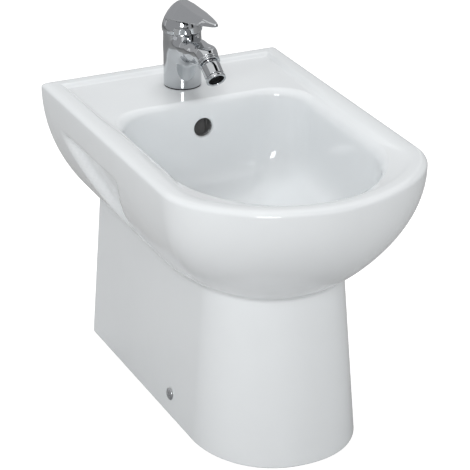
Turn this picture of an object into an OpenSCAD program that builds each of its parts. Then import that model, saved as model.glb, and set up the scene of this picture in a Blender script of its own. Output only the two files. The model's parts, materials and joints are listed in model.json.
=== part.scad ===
// Floor standing bidet with a single-lever mixer, pop-up waste and bottle trap.
// Millimetres. The origin is at the floor, midway between the wall and the front of the rim.
// X runs across, -Y to the front, +Y to the wall, Z up.

/* [Rim] */
// Width of the rim
rim_w = 360; // [350:1:370]
// Depth from the wall to the front of the rim
body_d = 560; // [550:1:575]
// Height of the rim above the floor
rim_h = 400; // [395:1:415]
// Radius of the rim's outer edge
rim_round = 7; // [4:0.5:9]
// Depth of the rim's rounded front, from its tip to where the sides run straight
rim_nose = 111; // [100:1:125]
// Width of the flat border round the deck
border_w = 22; // [16:1:25]
// Drop from the border to the deck
deck_step = 5; // [3:0.5:7]
// Thickness of the deck at the tap hole
deck_t = 12; // [10:0.5:14]

/* [Pedestal] */
// Width of the pedestal at the floor
foot_w = 226; // [220:1:234]
// Depth from the wall to the front of the foot
foot_d = 478.7; // [465:1:490]
// Depth of the foot's rounded front
foot_nose = 122.3; // [110:1:135]
// How much narrower the pedestal's half width gets per millimetre of height
side_taper = 0.0657; // [0.03:0.001:0.08]
// How far the pedestal's front leans back per millimetre of height
front_lean = 0.11; // [0.05:0.005:0.13]
// Height of the neck under the bowl at its front
neck_front_h = 236; // [230:1:242]
// Height of the neck under the bowl at its sides
neck_side_h = 212; // [208:1:218]
// Thickness of the ceramic walls
wall_t = 11; // [9:0.5:12]
// Depth of the hollow in each flank behind the bowl
scoop_depth = 17; // [10:1:20]

/* [Basin] */
// Half width of the basin's wall under the rim
basin_half_w = 139; // [132:1:142]
// Distance from the wall to the basin's rear wall
basin_from_wall = 149; // [147:1:155]
// Distance from the rim's front to the basin's front wall
basin_front_gap = 45; // [40:1:52]
// Depth of the basin below the rim
basin_depth = 155; // [145:1:158]
// Radius of the basin's rear corners
basin_corner = 52; // [35:1:60]
// Overflow hole diameter
overflow_d = 27; // [22:0.5:30]
// Overflow hole centre below the rim
overflow_drop = 45; // [40:1:52]

/* [Holes] */
// Tap hole diameter
tap_hole_d = 35; // [33:0.5:37]
// Tap hole centre from the wall
tap_from_wall = 78.5; // [74:0.5:84]
// Waste hole diameter
waste_hole_d = 46; // [45:0.5:50]
// Waste hole centre from the wall
waste_from_wall = 250; // [240:1:255]
// Side fixing hole diameter
side_hole_d = 13; // [12:0.5:15]
// Side fixing hole centre from the wall
side_hole_from_wall = 280; // [260:1:300]
// Side fixing hole centre above the floor
side_hole_h = 32.5; // [28:0.5:38]

/* [Mixer] */
// Diameter of the mixer's body
mixer_d = 52.5; // [50:0.5:55]
// Height of the mixer's body above the deck
mixer_h = 79; // [76:0.5:80]
// Reach of the spout's collar in front of the mixer's axis
spout_reach = 89.7; // [84:0.5:96]
// Height of the spout's collar above the deck
spout_h = 59.9; // [57:0.1:61]
// Angle of the nozzle below the horizontal
nozzle_slope = 36; // [30:1:40]
// Diameter of the nozzle's barrel
nozzle_d = 25.4; // [24:0.2:27]
// Length of the nozzle in front of the collar
nozzle_len = 28.8; // [26:0.2:32]
// Height of the lever's top above the deck
lever_h = 122; // [118:1:126]
// Reach of the lever's tip in front of the mixer's axis
lever_reach = 112; // [100:1:116]
// Thickness of the gasket under the mixer
gasket_t = 1.5; // [1:0.25:2]
// Lean of the pop-up rod
rod_lean = 24; // [22:1:26]

/* [Waste and trap] */
// Distance from the wall to the end of the outlet pipe
pipe_end_gap = 92; // [86:1:120]
// Outer diameter of the waste and outlet pipes
pipe_d = 32; // [31:0.5:33]
// Wall of the pipes
pipe_wall = 1.5; // [1.2:0.1:2]
// Drop from the basin's drain to the axis of the outlet pipe
outlet_drop = 137; // [133:1:141]
// Radius of the trap's body
trap_r = 33; // [31:0.5:36]

/* [Hidden] */
$fn = 64;

// Clearances shared by every fit
slip = 0.05; // a shaft or bolt in its hole
seat = 0.02; // flat parts clamped together
eps = 1; // how far a cut runs past a face
through = 200; // length of a cut that runs right through its piece

// Colours
glaze = [0.93, 0.94, 0.95];
chrome = [0.72, 0.74, 0.76];
brass = [0.78, 0.66, 0.36];
steel = [0.62, 0.63, 0.65];
rubber = [0.12, 0.12, 0.13];
white_plastic = [0.9, 0.9, 0.88];
grey_plastic = [0.45, 0.46, 0.48];
stone_disc = [0.85, 0.82, 0.76];

// ---- Ceramic: outlines and levels ----
n_front = 12; // segments of the rounded front, each half
n_side = 13;
n_corner = 3;
n_rear = 5;
wall_y = body_d / 2;
front_y = -wall_y;
bulge_z = rim_h - rim_round; // where the hull is widest
deck_z = rim_h - deck_step;
floor_z = rim_h - basin_depth;
outlet_h = floor_z - outlet_drop;
tap_y = wall_y - tap_from_wall;
waste_y = wall_y - waste_from_wall;
side_hole_y = wall_y - side_hole_from_wall;
rim_half = rim_w / 2;
foot_half = foot_w / 2;
side_pull = 0.2; // pulls of the curve that rounds the rim's front
front_pull = 0.33;
neck_level = 235; // height at which the neck's outline is taken
hull_arc = 300; // radius of the hull's side in section
rear_edge_r = 4; // rear corners of the ceramic
basin_rear_y = wall_y - basin_from_wall;
basin_front_y = front_y + basin_front_gap;
basin_mid_y = waste_y;
basin_wall_top = rim_h - 16; // where the basin's rounded edge ends
basin_edge_w = 9; // width of that rounded edge
basin_power = 5; // exponent of the basin's section
basin_fall = 35; // how far the basin's floor falls to the drain
seat_share = 0.25; // share of the basin's width that the flat drain seat takes
deck_front_y = basin_rear_y + basin_edge_w; // the deck is flat behind this
roof_angle = 66; // where the pedestal's hollow meets the basin's underside

function clamp01(x) = min(1, max(0, x));
function smooth(a, b, x) = let (t = clamp01((x - a) / (b - a))) t * t * (3 - 2 * t);
function curve(p, t) = pow(1 - t, 3) * p[0] + 3 * t * pow(1 - t, 2) * p[1]
    + 3 * t * t * (1 - t) * p[2] + pow(t, 3) * p[3];

// An outline is [half width, rear y, y where the side ends, front y, side pull, front pull, corner radius].
function half_outline(o) = concat(
    [for (i = [0 : n_front - 1]) curve([[0, o[3]], [o[5] * o[0], o[3]],
        [o[0], o[2] - o[4] * (o[2] - o[3])], [o[0], o[2]]], i / n_front)],
    [for (i = [0 : n_side - 1]) [o[0], o[2] + (o[1] - o[6] - o[2]) * i / n_side]],
    [for (i = [0 : n_corner - 1]) let (a = 90 * i / n_corner)
        [o[0] - o[6] + o[6] * cos(a), o[1] - o[6] + o[6] * sin(a)]],
    [for (i = [0 : n_rear]) [(o[0] - o[6]) * (1 - i / n_rear), o[1]]]
);
function full_outline(o) = let (h = half_outline(o))
    concat(h, [for (i = [len(h) - 2 : -1 : 1]) [-h[i][0], h[i][1]]]);

function rim_outline(inset) = [rim_half - inset, wall_y - inset, front_y + rim_nose,
    front_y + inset, side_pull, front_pull, rear_edge_r];
function foot_outline(z, inset) = [foot_half - side_taper * z - inset, wall_y - inset,
    wall_y - foot_d + foot_nose, wall_y - foot_d + front_lean * z + inset, 0.42, 0.72, rear_edge_r];
function basin_outline(grow, share) = [(basin_half_w + grow) * share,
    basin_mid_y + (basin_rear_y + grow - basin_mid_y) * share,
    basin_mid_y + (front_y + rim_nose + 39 - basin_mid_y) * share,
    basin_mid_y + (basin_front_y - grow - basin_mid_y) * share, 0.35, 0.42, basin_corner * share];

// Height of the crease where the bowl meets the pedestal, by distance along the side.
function neck_z(y) = neck_side_h + (neck_front_h - neck_side_h) * smooth(20, -130, y);

// Share of the way from the neck's outline to the rim's outline at share h of the height between them.
function hull_share(y, h) = let (
    e = (bulge_z - neck_z(y)) / hull_arc,
    base = sqrt(1 - e * e),
    side = (sqrt(1 - pow(e * (1 - h), 2)) - base) / (1 - base)
) pow(side, 1 - 0.3 * smooth(20, -180, y));

// Inward depth of the hollow in the flank.
function scoop(y, z) = let (bowl_y = 100 - 0.31 * (z - 222))
    scoop_depth * (1 - smooth(322, 350, z)) * smooth(neck_side_h, neck_side_h + 40, z)
        * smooth(bowl_y - 38, bowl_y, y) * clamp01((wall_y - 10 - y) / (wall_y - 10 - bowl_y));

function sided(x, depth) = x - sign(x) * min(depth, abs(x));

// One ring of the hull at share h of its height, inset inwards.
function hull_ring(h, inset) = let (
    neck = full_outline(foot_outline(neck_level, inset)),
    rim = full_outline(rim_outline(inset))
) [for (i = [0 : len(neck) - 1]) let (
    y0 = neck[i][1],
    z = neck_z(y0) + (bulge_z - neck_z(y0)) * h,
    s = hull_share(y0, h),
    y = y0 + (rim[i][1] - y0) * s,
    x = neck[i][0] + (rim[i][0] - neck[i][0]) * s
) [abs(x) > 60 ? sided(x, scoop(y, z)) : x, y, z]];

// One ring of the pedestal at share s of the way up to the neck.
function foot_ring(s, inset, drop) = let (
    low = full_outline(foot_outline(0, inset)),
    top = full_outline(foot_outline(neck_level, inset))
) [for (i = [0 : len(low) - 1]) let (y = low[i][1] + (top[i][1] - low[i][1]) * s)
    [low[i][0] + (top[i][0] - low[i][0]) * s, y, (neck_z(top[i][1]) - drop) * s]];

function level_ring(o, z) = [for (p = full_outline(o)) [p[0], p[1], z]];

// A ring at rim level in front that falls to the deck's level behind the basin.
function deck_ring(o, rim_level) = [for (p = full_outline(o)) [p[0], p[1],
    deck_z + (rim_level - deck_z) * smooth(deck_front_y, deck_front_y - 90, p[1])]];

// A ring of the basin, or of a surface grown outwards from it, at angle a of its rounded section:
// 0 is the wall's top, 90 the drain.
function basin_ring(a, grow = 0) = let (
    share = pow(cos(a), 2 / basin_power),
    wall_part = basin_wall_top - floor_z - basin_fall + grow
) level_ring(basin_outline(grow, share), basin_wall_top - wall_part * pow(sin(a), 2 / basin_power)
    - basin_fall * min(1, (1 - share) / (1 - seat_share)));

// Where the pedestal's hollow ends, level with a ring of the basin's underside.
roof_z = basin_ring(roof_angle, wall_t)[0][2];
function hollow_top_ring() = let (
    h = (roof_z - neck_side_h) / (bulge_z - neck_side_h),
    ring = hull_ring(h, wall_t + 3)
) [for (p = ring) [p[0], p[1], roof_z]];

skin_rings = concat(
    [for (a = [86, 80, 73, roof_angle]) basin_ring(a, wall_t)],
    [hollow_top_ring(), foot_ring(1, wall_t, 6), foot_ring(0, wall_t, 0)],
    [for (s = [0, 0.5, 0.96]) foot_ring(s, 0, 0)],
    [for (h = [0, 0.05, 0.12, 0.2, 0.3, 0.4, 0.5, 0.6, 0.7, 0.8, 0.9, 1]) hull_ring(h, 0)],
    [for (a = [25, 50, 70, 90]) level_ring(rim_outline(rim_round * (1 - cos(a))),
        bulge_z + rim_round * sin(a))],
    [level_ring(rim_outline(border_w), rim_h), deck_ring(rim_outline(border_w + 8), rim_h - 0.6)],
    [deck_ring(basin_outline(basin_edge_w, 1), rim_h - 2.5),
        level_ring(basin_outline(basin_edge_w * 0.3, 1), rim_h - 8), basin_ring(0)],
    [for (a = [3, 12, 22, 32, 42, 52, 62, 71, 78, 84]) basin_ring(a)],
    [level_ring(basin_outline(0, seat_share), floor_z)]
);

function ring_middle(r) = [0, (r[0][1] + r[len(r) / 2][1]) / 2, r[0][2]];

// A closed skin through a list of rings with equally many points, capped at both ends.
module skin(rings) {
    n = len(rings[0]);
    k = len(rings);
    polyhedron(
        points = concat([for (r = rings) each r], [ring_middle(rings[0]), ring_middle(rings[k - 1])]),
        faces = concat(
            [for (j = [0 : k - 2], i = [0 : n - 1]) let (a = j * n + i, b = j * n + (i + 1) % n)
                [a, a + n, b + n]],
            [for (j = [0 : k - 2], i = [0 : n - 1]) let (a = j * n + i, b = j * n + (i + 1) % n)
                [a, b + n, b]],
            [for (i = [0 : n - 1]) [k * n, i, (i + 1) % n]],
            [for (i = [0 : n - 1]) [k * n + 1, (k - 1) * n + (i + 1) % n, (k - 1) * n + i]]
        ),
        convexity = 12
    );
}

// ---- Ceramic: ducts and openings ----
duct_half = 12; // half width of the overflow duct
duct_wall = 8;
duct_front_y = basin_rear_y + wall_t + 1;
duct_depth = 12;
duct_low_z = floor_z - 33;
duct_floor_h = 18;
boss_z = duct_low_z - 9; // underside of the boss that the waste clamps
boss_r = 36;
overflow_z = rim_h - overflow_drop;
rear_cut_y = basin_rear_y + wall_t + 9;
rear_roof_z = deck_z - deck_t;

// Half profile of the opening to the wall: pedestal width below, wider under the deck.
module rear_profile() {
    low = foot_half - side_taper * neck_level - wall_t;
    polygon([[-low, -eps], [low, -eps], [low, neck_side_h], [low + 16, neck_side_h + 40],
        [low + 38, 300], [low + 54, 340], [low + 60, rear_roof_z], [-low - 60, rear_roof_z],
        [-low - 54, 340], [-low - 38, 300], [-low - 16, neck_side_h + 40], [-low, neck_side_h]]);
}

module overflow_boss() {
    out = duct_half + duct_wall;
    translate([-out, duct_front_y - 4, boss_z])
        cube([2 * out, duct_depth + duct_wall + 4, overflow_z + 20 - boss_z]);
    translate([-out, waste_y, boss_z])
        cube([2 * out, duct_front_y + duct_depth + duct_wall - waste_y, floor_z - 6 - boss_z]);
    translate([0, waste_y, boss_z])
        cylinder(r = boss_r, h = floor_z - 4 - boss_z);
}

module overflow_duct() {
    translate([-duct_half, duct_front_y, duct_low_z])
        cube([2 * duct_half, duct_depth, overflow_z + 14 - duct_low_z]);
    translate([-duct_half, waste_y, duct_low_z])
        cube([2 * duct_half, duct_front_y + duct_depth - waste_y, duct_floor_h]);
    translate([0, duct_front_y + 2, overflow_z])
        rotate([90, 0, 0])
            cylinder(d = overflow_d, h = 60);
}

module ceramic_body() color(glaze)
    difference() {
        union() {
            difference() {
                skin(skin_rings);
                translate([0, wall_y + eps, 0])
                    rotate([90, 0, 0])
                        linear_extrude(wall_y + eps - rear_cut_y)
                            rear_profile();
            }
            overflow_boss();
        }
        overflow_duct();
        translate([0, waste_y, boss_z - eps])
            cylinder(d = waste_hole_d, h = floor_z - boss_z + 2 * eps);
        translate([0, waste_y, floor_z])
            cylinder(r = flange_r + 1.5, h = 4);
        translate([0, tap_y, rear_roof_z - eps])
            cylinder(d = tap_hole_d, h = deck_z - rear_roof_z + 2 * eps);
        translate([-foot_half - eps, side_hole_y, side_hole_h])
            rotate([0, 90, 0])
                cylinder(d = side_hole_d, h = foot_w + 2 * eps);
    }

// ---- Side fixing ----
side_face_x = foot_half - side_taper * side_hole_h; // ceramic surface at the hole
side_inner_x = side_face_x - wall_t;
cap_r = 8.75;
cap_gap = side_taper * cap_r + slip; // the upright cap clears the leaning wall
screw_r = 3;
screw_head_r = 6;
screw_head_t = 4;
screw_len = 34;
sleeve_end = 1.2; // how far the sleeve stands out inside
bracket_face_x = side_inner_x - sleeve_end - 0.2;
bracket_t = 7;
bracket_w = 40;
upright_t = 16;
bracket_hole_x = bracket_face_x - 27;
bracket_hole_d = 8.5;

module both_sides() {
    for (m = [0, 1])
        mirror([m, 0, 0])
            translate([0, side_hole_y, 0])
                children();
}

module side_caps() color(chrome)
    both_sides()
        translate([side_face_x + cap_gap, 0, side_hole_h])
            rotate([0, 90, 0])
                rotate_extrude()
                    polygon([[0, 3.4], [1.6, 3.4], [1.9, 2.9], [6.6, 2.6], [8, 1.9], [cap_r, 0.8],
                        [cap_r, 0], [0, 0]]);

module side_screws() color(steel)
    both_sides()
        translate([side_face_x, 0, side_hole_h])
            rotate([0, -90, 0]) {
                cylinder(r1 = screw_head_r, r2 = screw_r, h = screw_head_t);
                cylinder(r = screw_r, h = screw_len);
            }

module side_sleeves() color(white_plastic)
    both_sides()
        translate([side_face_x, 0, side_hole_h])
            rotate([0, -90, 0])
                difference() {
                    cylinder(d = side_hole_d - 2 * slip, h = wall_t + sleeve_end);
                    translate([0, 0, -seat])
                        cylinder(r1 = screw_head_r + 2 * slip, r2 = screw_r + slip,
                            h = screw_head_t + 3 * slip);
                    cylinder(r = screw_r + slip, h = 3 * wall_t);
                }

module floor_brackets() color(white_plastic)
    both_sides()
        difference() {
            union() {
                translate([bracket_hole_x - 12, -bracket_w / 2, 0])
                    cube([bracket_face_x - bracket_hole_x + 12, bracket_w, bracket_t]);
                translate([bracket_face_x - upright_t, -bracket_w / 2, 0])
                    cube([upright_t, bracket_w, side_hole_h + 14]);
            }
            translate([bracket_hole_x, 0, -eps])
                cylinder(d = bracket_hole_d, h = bracket_t + 2 * eps);
            translate([bracket_face_x - upright_t - eps, 0, side_hole_h])
                rotate([0, 90, 0])
                    cylinder(r = screw_r + slip, h = upright_t + 2 * eps);
        }

// ---- Mixer: levels above the deck, its axis at the tap hole ----
mixer_r = mixer_d / 2;
pivot_h = mixer_h - 9; // the lever's pivot
seat_h = pivot_h - 20; // floor of the cartridge bore
bore_r = 17.6;
dome_r = sqrt(mixer_r * mixer_r + pow(mixer_h - pivot_h, 2));
lever_in_r = dome_r + 0.35;
skirt_h = mixer_h + 0.8;
inlet_x = 7.2;
inlet_r = 4.5;
inlet_len = 14;
port_r = 2.2; // hot and cold ports of the cartridge
outlet_y = 8; // mixed water port, behind the axis
outlet_r = 3;
stud_y = -13;
stud_r = 3;
rod_r = 2.5;
rod_y = 14.5; // the pop-up rod's axis at deck level
bush_r = 4.5;
collar_r = 15.3;
ball_r = 11.5;
ball_s = -4.5; // places along the nozzle's axis count from the collar's middle
collar_back = -5;
collar_face = 1.2;
chamber_s = -17; // back of the ball's chamber
disc_r = 13;

module at_tap(z = 0) {
    translate([0, tap_y, deck_z + z])
        children();
}
module on_nozzle(s = 0) {
    at_tap(spout_h)
        translate([0, -spout_reach, 0])
            rotate([90 + nozzle_slope, 0, 0])
                translate([0, 0, s])
                    children();
}
module on_rod(s = 0) {
    at_tap()
        translate([0, rod_y, 0])
            rotate([-rod_lean, 0, 0])
                translate([0, 0, s])
                    children();
}
module tube(r_out, r_in, h) {
    difference() {
        cylinder(r = r_out, h = h);
        translate([0, 0, -eps])
            cylinder(r = r_in, h = h + 2 * eps);
    }
}

// Points along the spout's middle line, each [y, height above the deck, radius].
spout_root = [0, spout_h - 2.9, 21];
spout_bend = [39.7 - spout_reach, spout_h + 4.1, 16];
elbow_s = -14; // the elbow lies on the nozzle's axis
spout_elbow = [-spout_reach - elbow_s * cos(nozzle_slope), spout_h - elbow_s * sin(nozzle_slope), 15.4];

// A cone between two such points, with a ball at its far end.
module spout_run(from, to) {
    run = to[0] - from[0];
    rise = to[1] - from[1];
    at_tap(from[1])
        translate([0, from[0], 0])
            rotate([-atan2(run, rise), 0, 0])
                cylinder(r1 = from[2], r2 = to[2], h = sqrt(run * run + rise * rise));
    at_tap(to[1])
        translate([0, to[0], 0])
            sphere(r = to[2] + 0.3);
}

module spout_form() {
    spout_run(spout_root, spout_bend);
    spout_run(spout_bend, spout_elbow);
    on_nozzle(elbow_s)
        cylinder(r1 = spout_elbow[2], r2 = collar_r - 0.4, h = collar_back - elbow_s);
}

module mixer_body() color(chrome)
    difference() {
        union() {
            at_tap(gasket_t)
                cylinder(r = mixer_r, h = mixer_h - gasket_t);
            spout_form();
        }
        at_tap(mixer_h)
            cylinder(r = mixer_r + 3, h = 40);
        at_tap(seat_h)
            cylinder(r = bore_r, h = mixer_h);
        for (x = [-inlet_x, inlet_x])
            at_tap(0)
                translate([x, 0, 0]) {
                    cylinder(r = inlet_r, h = gasket_t + inlet_len);
                    cylinder(r = port_r + 0.4, h = seat_h + eps);
                }
        at_tap(0)
            translate([0, stud_y, 0])
                cylinder(r = stud_r + slip, h = 20);
        on_rod(-3)
            cylinder(r = bush_r + slip, h = 60);
        mixed_water_path();
        on_nozzle(chamber_s)
            cylinder(r = ball_r + 0.4, h = collar_face - chamber_s + eps);
        on_nozzle(collar_back)
            cylinder(r = collar_r + eps, h = 20);
        on_index()
            translate([0, 0, -1.5])
                cylinder(r = plug_r + slip, h = 4);
    }

// Path of the mixed water from under the cartridge, between the inlets, to the ball joint.
path_r = 3;
path_h = seat_h - 4.5;
path_bend_y = -20; // where the path turns up into the spout
module mixed_water_path() {
    at_tap(path_h)
        translate([0, outlet_y, 0])
            cylinder(r = path_r, h = seat_h - path_h + eps);
    at_tap(path_h)
        translate([0, outlet_y + path_r, 0])
            rotate([90, 0, 0])
                cylinder(r = path_r, h = outlet_y + path_r - path_bend_y);
    end_y = -spout_reach - chamber_s * cos(nozzle_slope);
    end_h = spout_h - chamber_s * sin(nozzle_slope) - 1.5;
    run = path_bend_y - end_y;
    rise = end_h - path_h;
    at_tap(path_h)
        translate([0, path_bend_y, 0]) {
            sphere(r = path_r + 0.5);
            rotate([90 - atan(rise / run), 0, 0])
                cylinder(r = path_r, h = sqrt(run * run + rise * rise) + 2);
        }
}

module base_gasket() color(rubber)
    at_tap(0)
        tube(mixer_r - 1, tap_hole_d / 2 + 1, gasket_t);

stud_below = 36; // the stud's length below the deck
module mounting_stud() color(steel)
    at_tap(-stud_below)
        translate([0, stud_y, 0])
            cylinder(r = stud_r, h = stud_below + 19);

shoe_r = 25;
shoe_gap_r = 12.8; // the horseshoe's slot, round both supply inlets
shoe_gap_y = 4;
shoe_rubber_t = 3;
shoe_metal_t = 2;
nut_h = 8;
module horseshoe(t) {
    difference() {
        cylinder(r = shoe_r, h = t);
        translate([0, shoe_gap_y, -eps])
            cylinder(r = shoe_gap_r, h = t + 2 * eps);
        translate([-shoe_gap_r, shoe_gap_y, -eps])
            cube([2 * shoe_gap_r, shoe_r + eps, t + 2 * eps]);
        translate([0, stud_y, -eps])
            cylinder(r = stud_r + slip, h = t + 2 * eps);
    }
}

module clamp_rubber() color(rubber)
    at_tap(-deck_t - shoe_rubber_t)
        horseshoe(shoe_rubber_t);

module clamp_washer() color(steel)
    at_tap(-deck_t - shoe_rubber_t - shoe_metal_t)
        horseshoe(shoe_metal_t);

module stud_nut() color(brass)
    at_tap(-deck_t - shoe_rubber_t - shoe_metal_t - nut_h)
        translate([0, stud_y, 0])
            difference() {
                cylinder(r = 5.8, h = nut_h, $fn = 6);
                translate([0, 0, -eps])
                    cylinder(r = stud_r + slip, h = nut_h + 2 * eps);
            }

// Cartridge levels above its seat
seal_t = 0.6;
disc_h = seat_h + 3.6;
move_h = disc_h + 3.4;
carrier_h = move_h + 3.4;
ball_end_h = carrier_h + 3;
ball_end_r = 2.2;
rotor_h = carrier_h + 5.2;
rotor_t = 6.6;
lip_h = rotor_h + rotor_t + 0.2; // underside of the lip that holds the rotor
housing_top = lip_h + 1.4;
slider_r = disc_r - 2; // the moving disc and its carrier
stem_r = 3.5;
pin_r = 1.5;

// The three ports of the cartridge: hot and cold, then mixed.
module at_ports(h) {
    for (x = [-inlet_x, inlet_x])
        at_tap(h)
            translate([x, 0, 0])
                children(0);
    at_tap(h)
        translate([0, outlet_y, 0])
            children(1);
}

module cartridge_housing() color(grey_plastic)
    difference() {
        at_tap(seat_h + seal_t)
            cylinder(r = bore_r - slip, h = housing_top - seat_h - seal_t);
        at_tap(disc_h)
            cylinder(r = disc_r + 1.3, h = lip_h - disc_h);
        at_tap(disc_h)
            cylinder(r = 10.5, h = 40);
        at_ports(seat_h) {
            cylinder(r = port_r, h = 6);
            cylinder(r = outlet_r, h = 6);
        }
    }

module cartridge_seals() color(rubber)
    at_ports(seat_h) {
        tube(port_r + 1.6, port_r + 0.4, seal_t);
        tube(outlet_r + 1.6, outlet_r, seal_t);
    }

module fixed_disc() color(stone_disc)
    difference() {
        at_tap(disc_h)
            cylinder(r = disc_r + 1.3 - slip, h = move_h - disc_h);
        at_ports(disc_h - eps) {
            cylinder(r = port_r, h = 6);
            cylinder(r = outlet_r, h = 6);
        }
    }

// The recess under the moving disc joins the ports when the disc slides forward.
module moving_disc() color(stone_disc)
    difference() {
        at_tap(move_h + seat)
            cylinder(r = slider_r, h = carrier_h - move_h - 2 * seat);
        at_tap(move_h - eps)
            translate([0, 4.5, 0])
                cylinder(r = 6, h = 2 + eps);
    }

module disc_carrier() color(white_plastic)
    difference() {
        at_tap(carrier_h)
            cylinder(r = slider_r, h = rotor_h - carrier_h - 0.2);
        at_tap(carrier_h + 0.6)
            cylinder(r = ball_end_r + 0.1, h = 6);
    }

module cartridge_rotor() color(white_plastic)
    difference() {
        at_tap(rotor_h)
            cylinder(r = disc_r, h = rotor_t);
        at_tap(rotor_h + rotor_t / 2)
            cube([2 * stem_r + 0.4, 13, 16], center = true);
        at_tap(pivot_h)
            rotate([0, 90, 0])
                cylinder(r = pin_r, h = 40, center = true);
    }

module stem_pin() color(steel)
    at_tap(pivot_h)
        rotate([0, 90, 0])
            cylinder(r = pin_r, h = 2 * disc_r - 1, center = true);

module lever_stem() color(brass)
    difference() {
        union() {
            at_tap(ball_end_h)
                sphere(r = ball_end_r);
            at_tap(ball_end_h)
                cylinder(r = 1.4, h = rotor_h + 2 - ball_end_h);
            at_tap(rotor_h + 1.6)
                cylinder(r = stem_r, h = stem_top - rotor_h - 1.6);
        }
        at_tap(pivot_h)
            rotate([0, 90, 0])
                cylinder(r = pin_r + slip, h = 20, center = true);
    }

module cartridge_nut() color(brass)
    at_tap(housing_top)
        tube(bore_r - slip, 12, mixer_h - housing_top);

module dome_cap() color(chrome)
    difference() {
        at_tap(pivot_h)
            sphere(r = dome_r);
        at_tap(pivot_h)
            sphere(r = dome_r - 2.5);
        at_tap(mixer_h - 100)
            cylinder(r = 60, h = 100 + seat);
        at_tap(mixer_h)
            cylinder(r = 15, h = 60);
    }

// The lever: a dome over the cartridge, drawn out into a blade.
hood_r = mixer_r + 1.75; // the dome's widest radius
hood_belly = skirt_h + 4.2; // height of its widest radius
stem_top = lever_h - 14;
screw_h = stem_top - 6;
lever_screw_r = 2;
blade_slope = 9.4; // rise of the blade's underside towards its tip
blade_under_h = 103.5; // underside of the blade where it meets the dome
function hood_profile_r(h) = h < hood_belly ? hood_r - 0.12 * (hood_belly - h)
    : hood_r * pow(1 - pow((h - hood_belly) / (lever_h - hood_belly), 1.55), 0.62);

// A flat disc in the lever's form, its top at height h and its centre u in front of the axis.
module blade_disc(u, h, r, t) {
    at_tap(h - t)
        translate([0, -u, 0])
            cylinder(r = r, h = t, $fn = 32);
}

module lever_form() {
    hull() {
        at_tap()
            rotate_extrude($fn = 40)
                polygon(concat([[0, skirt_h]],
                    [for (i = [0 : 10]) let (h = skirt_h + (lever_h - skirt_h) * i / 10)
                        [max(hood_profile_r(h), 0.01), h]]));
        blade_disc(18, lever_h - 0.2, 9.3, 3);
        blade_disc(lever_reach - 52, lever_h, 9.3, 3);
        blade_disc(lever_reach - 46, lever_h - 10, 17, 5);
        blade_disc(lever_reach - 5, lever_h - 0.5, 5, 3.5);
    }
}

module under_blade_cut() {
    difference() {
        at_tap(blade_under_h)
            translate([-60, -hood_r, 0])
                rotate([-blade_slope, 0, 0])
                    translate([0, -150, -90])
                        cube([120, 170, 90]);
        at_tap(0)
            cylinder(r = hood_r + 0.1, h = through);
    }
}

module lever() color(chrome)
    difference() {
        lever_form();
        under_blade_cut();
        at_tap(pivot_h)
            sphere(r = lever_in_r);
        difference() {
            at_tap(pivot_h + 18)
                cylinder(r = 16.5, h = stem_top - pivot_h - 18);
            at_tap(0)
                cylinder(r = 8, h = through);
        }
        at_tap(pivot_h + 10)
            cylinder(r = stem_r + slip, h = stem_top - pivot_h - 10 + 0.1);
        at_tap(screw_h)
            rotate([90, 0, 0])
                cylinder(r = lever_screw_r + slip, h = 40);
    }

module lever_screw() color(steel)
    at_tap(screw_h)
        translate([0, -stem_r - 0.1, 0])
            rotate([90, 0, 0])
                cylinder(r = lever_screw_r, h = 8);

// A bare plug in the mixer's body, front left.
plug_r = 3.2;
module on_index() {
    at_tap(mixer_h - 3.6)
        rotate([0, 0, -45])
            translate([0, -mixer_r, 0])
                rotate([90, 0, 0])
                    children();
}
module index_plug() color(grey_plastic)
    on_index()
        translate([0, 0, -1.5])
            cylinder(r = plug_r, h = 2);

// ---- Nozzle ----
module spout_collar() color(chrome)
    difference() {
        on_nozzle(collar_back)
            cylinder(r = collar_r, h = collar_face - collar_back);
        on_nozzle(ball_s)
            sphere(r = ball_r + slip);
        on_nozzle(collar_face)
            cylinder(r1 = 9.4, r2 = 11, h = 3, center = true);
    }

module ball_seat() color(grey_plastic)
    difference() {
        on_nozzle(chamber_s + 0.2)
            cylinder(r = ball_r + 0.3, h = 4.5);
        on_nozzle(ball_s)
            sphere(r = ball_r + slip);
        on_nozzle(-20)
            cylinder(r = 6, h = 20);
    }

barrel_s = 4.2;
housing_s = nozzle_len - 4.4;
insert_s = housing_s - 8.4;
insert_seal_t = 2;
insert_r = nozzle_d / 2 - 2.3;
module nozzle_ball() color(chrome)
    difference() {
        union() {
            on_nozzle(ball_s)
                sphere(r = ball_r);
            on_nozzle(ball_s)
                cylinder(r = 7.8, h = barrel_s - ball_s + 1);
            on_nozzle(barrel_s)
                cylinder(r1 = nozzle_d / 2 - 1, r2 = nozzle_d / 2, h = 1);
            on_nozzle(barrel_s + 1)
                cylinder(d = nozzle_d, h = housing_s - barrel_s - 1);
        }
        on_nozzle(-20)
            cylinder(r = 4.5, h = 40);
        on_nozzle(insert_s - insert_seal_t)
            cylinder(r = insert_r + slip, h = 40);
    }

module aerator_housing() color(chrome)
    on_nozzle(housing_s)
        difference() {
            cylinder(d = nozzle_d + 0.4, h = nozzle_len - housing_s);
            translate([0, 0, -eps])
                cylinder(r = insert_r - 0.3, h = 10);
        }

module aerator_insert() color(rubber)
    on_nozzle(insert_s)
        difference() {
            cylinder(r = insert_r, h = housing_s - insert_s - 0.1);
            for (ring = [[0, 1], [3.6, 6], [7.2, 12]])
                for (i = [0 : ring[1] - 1])
                    rotate([0, 0, 360 * i / ring[1]])
                        translate([ring[0], 0, -eps])
                            cylinder(r = 0.9, h = 20, $fn = 16);
        }

module aerator_seal() color(rubber)
    on_nozzle(insert_s - insert_seal_t)
        tube(insert_r, insert_r - 2.4, insert_seal_t - seat);

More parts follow.
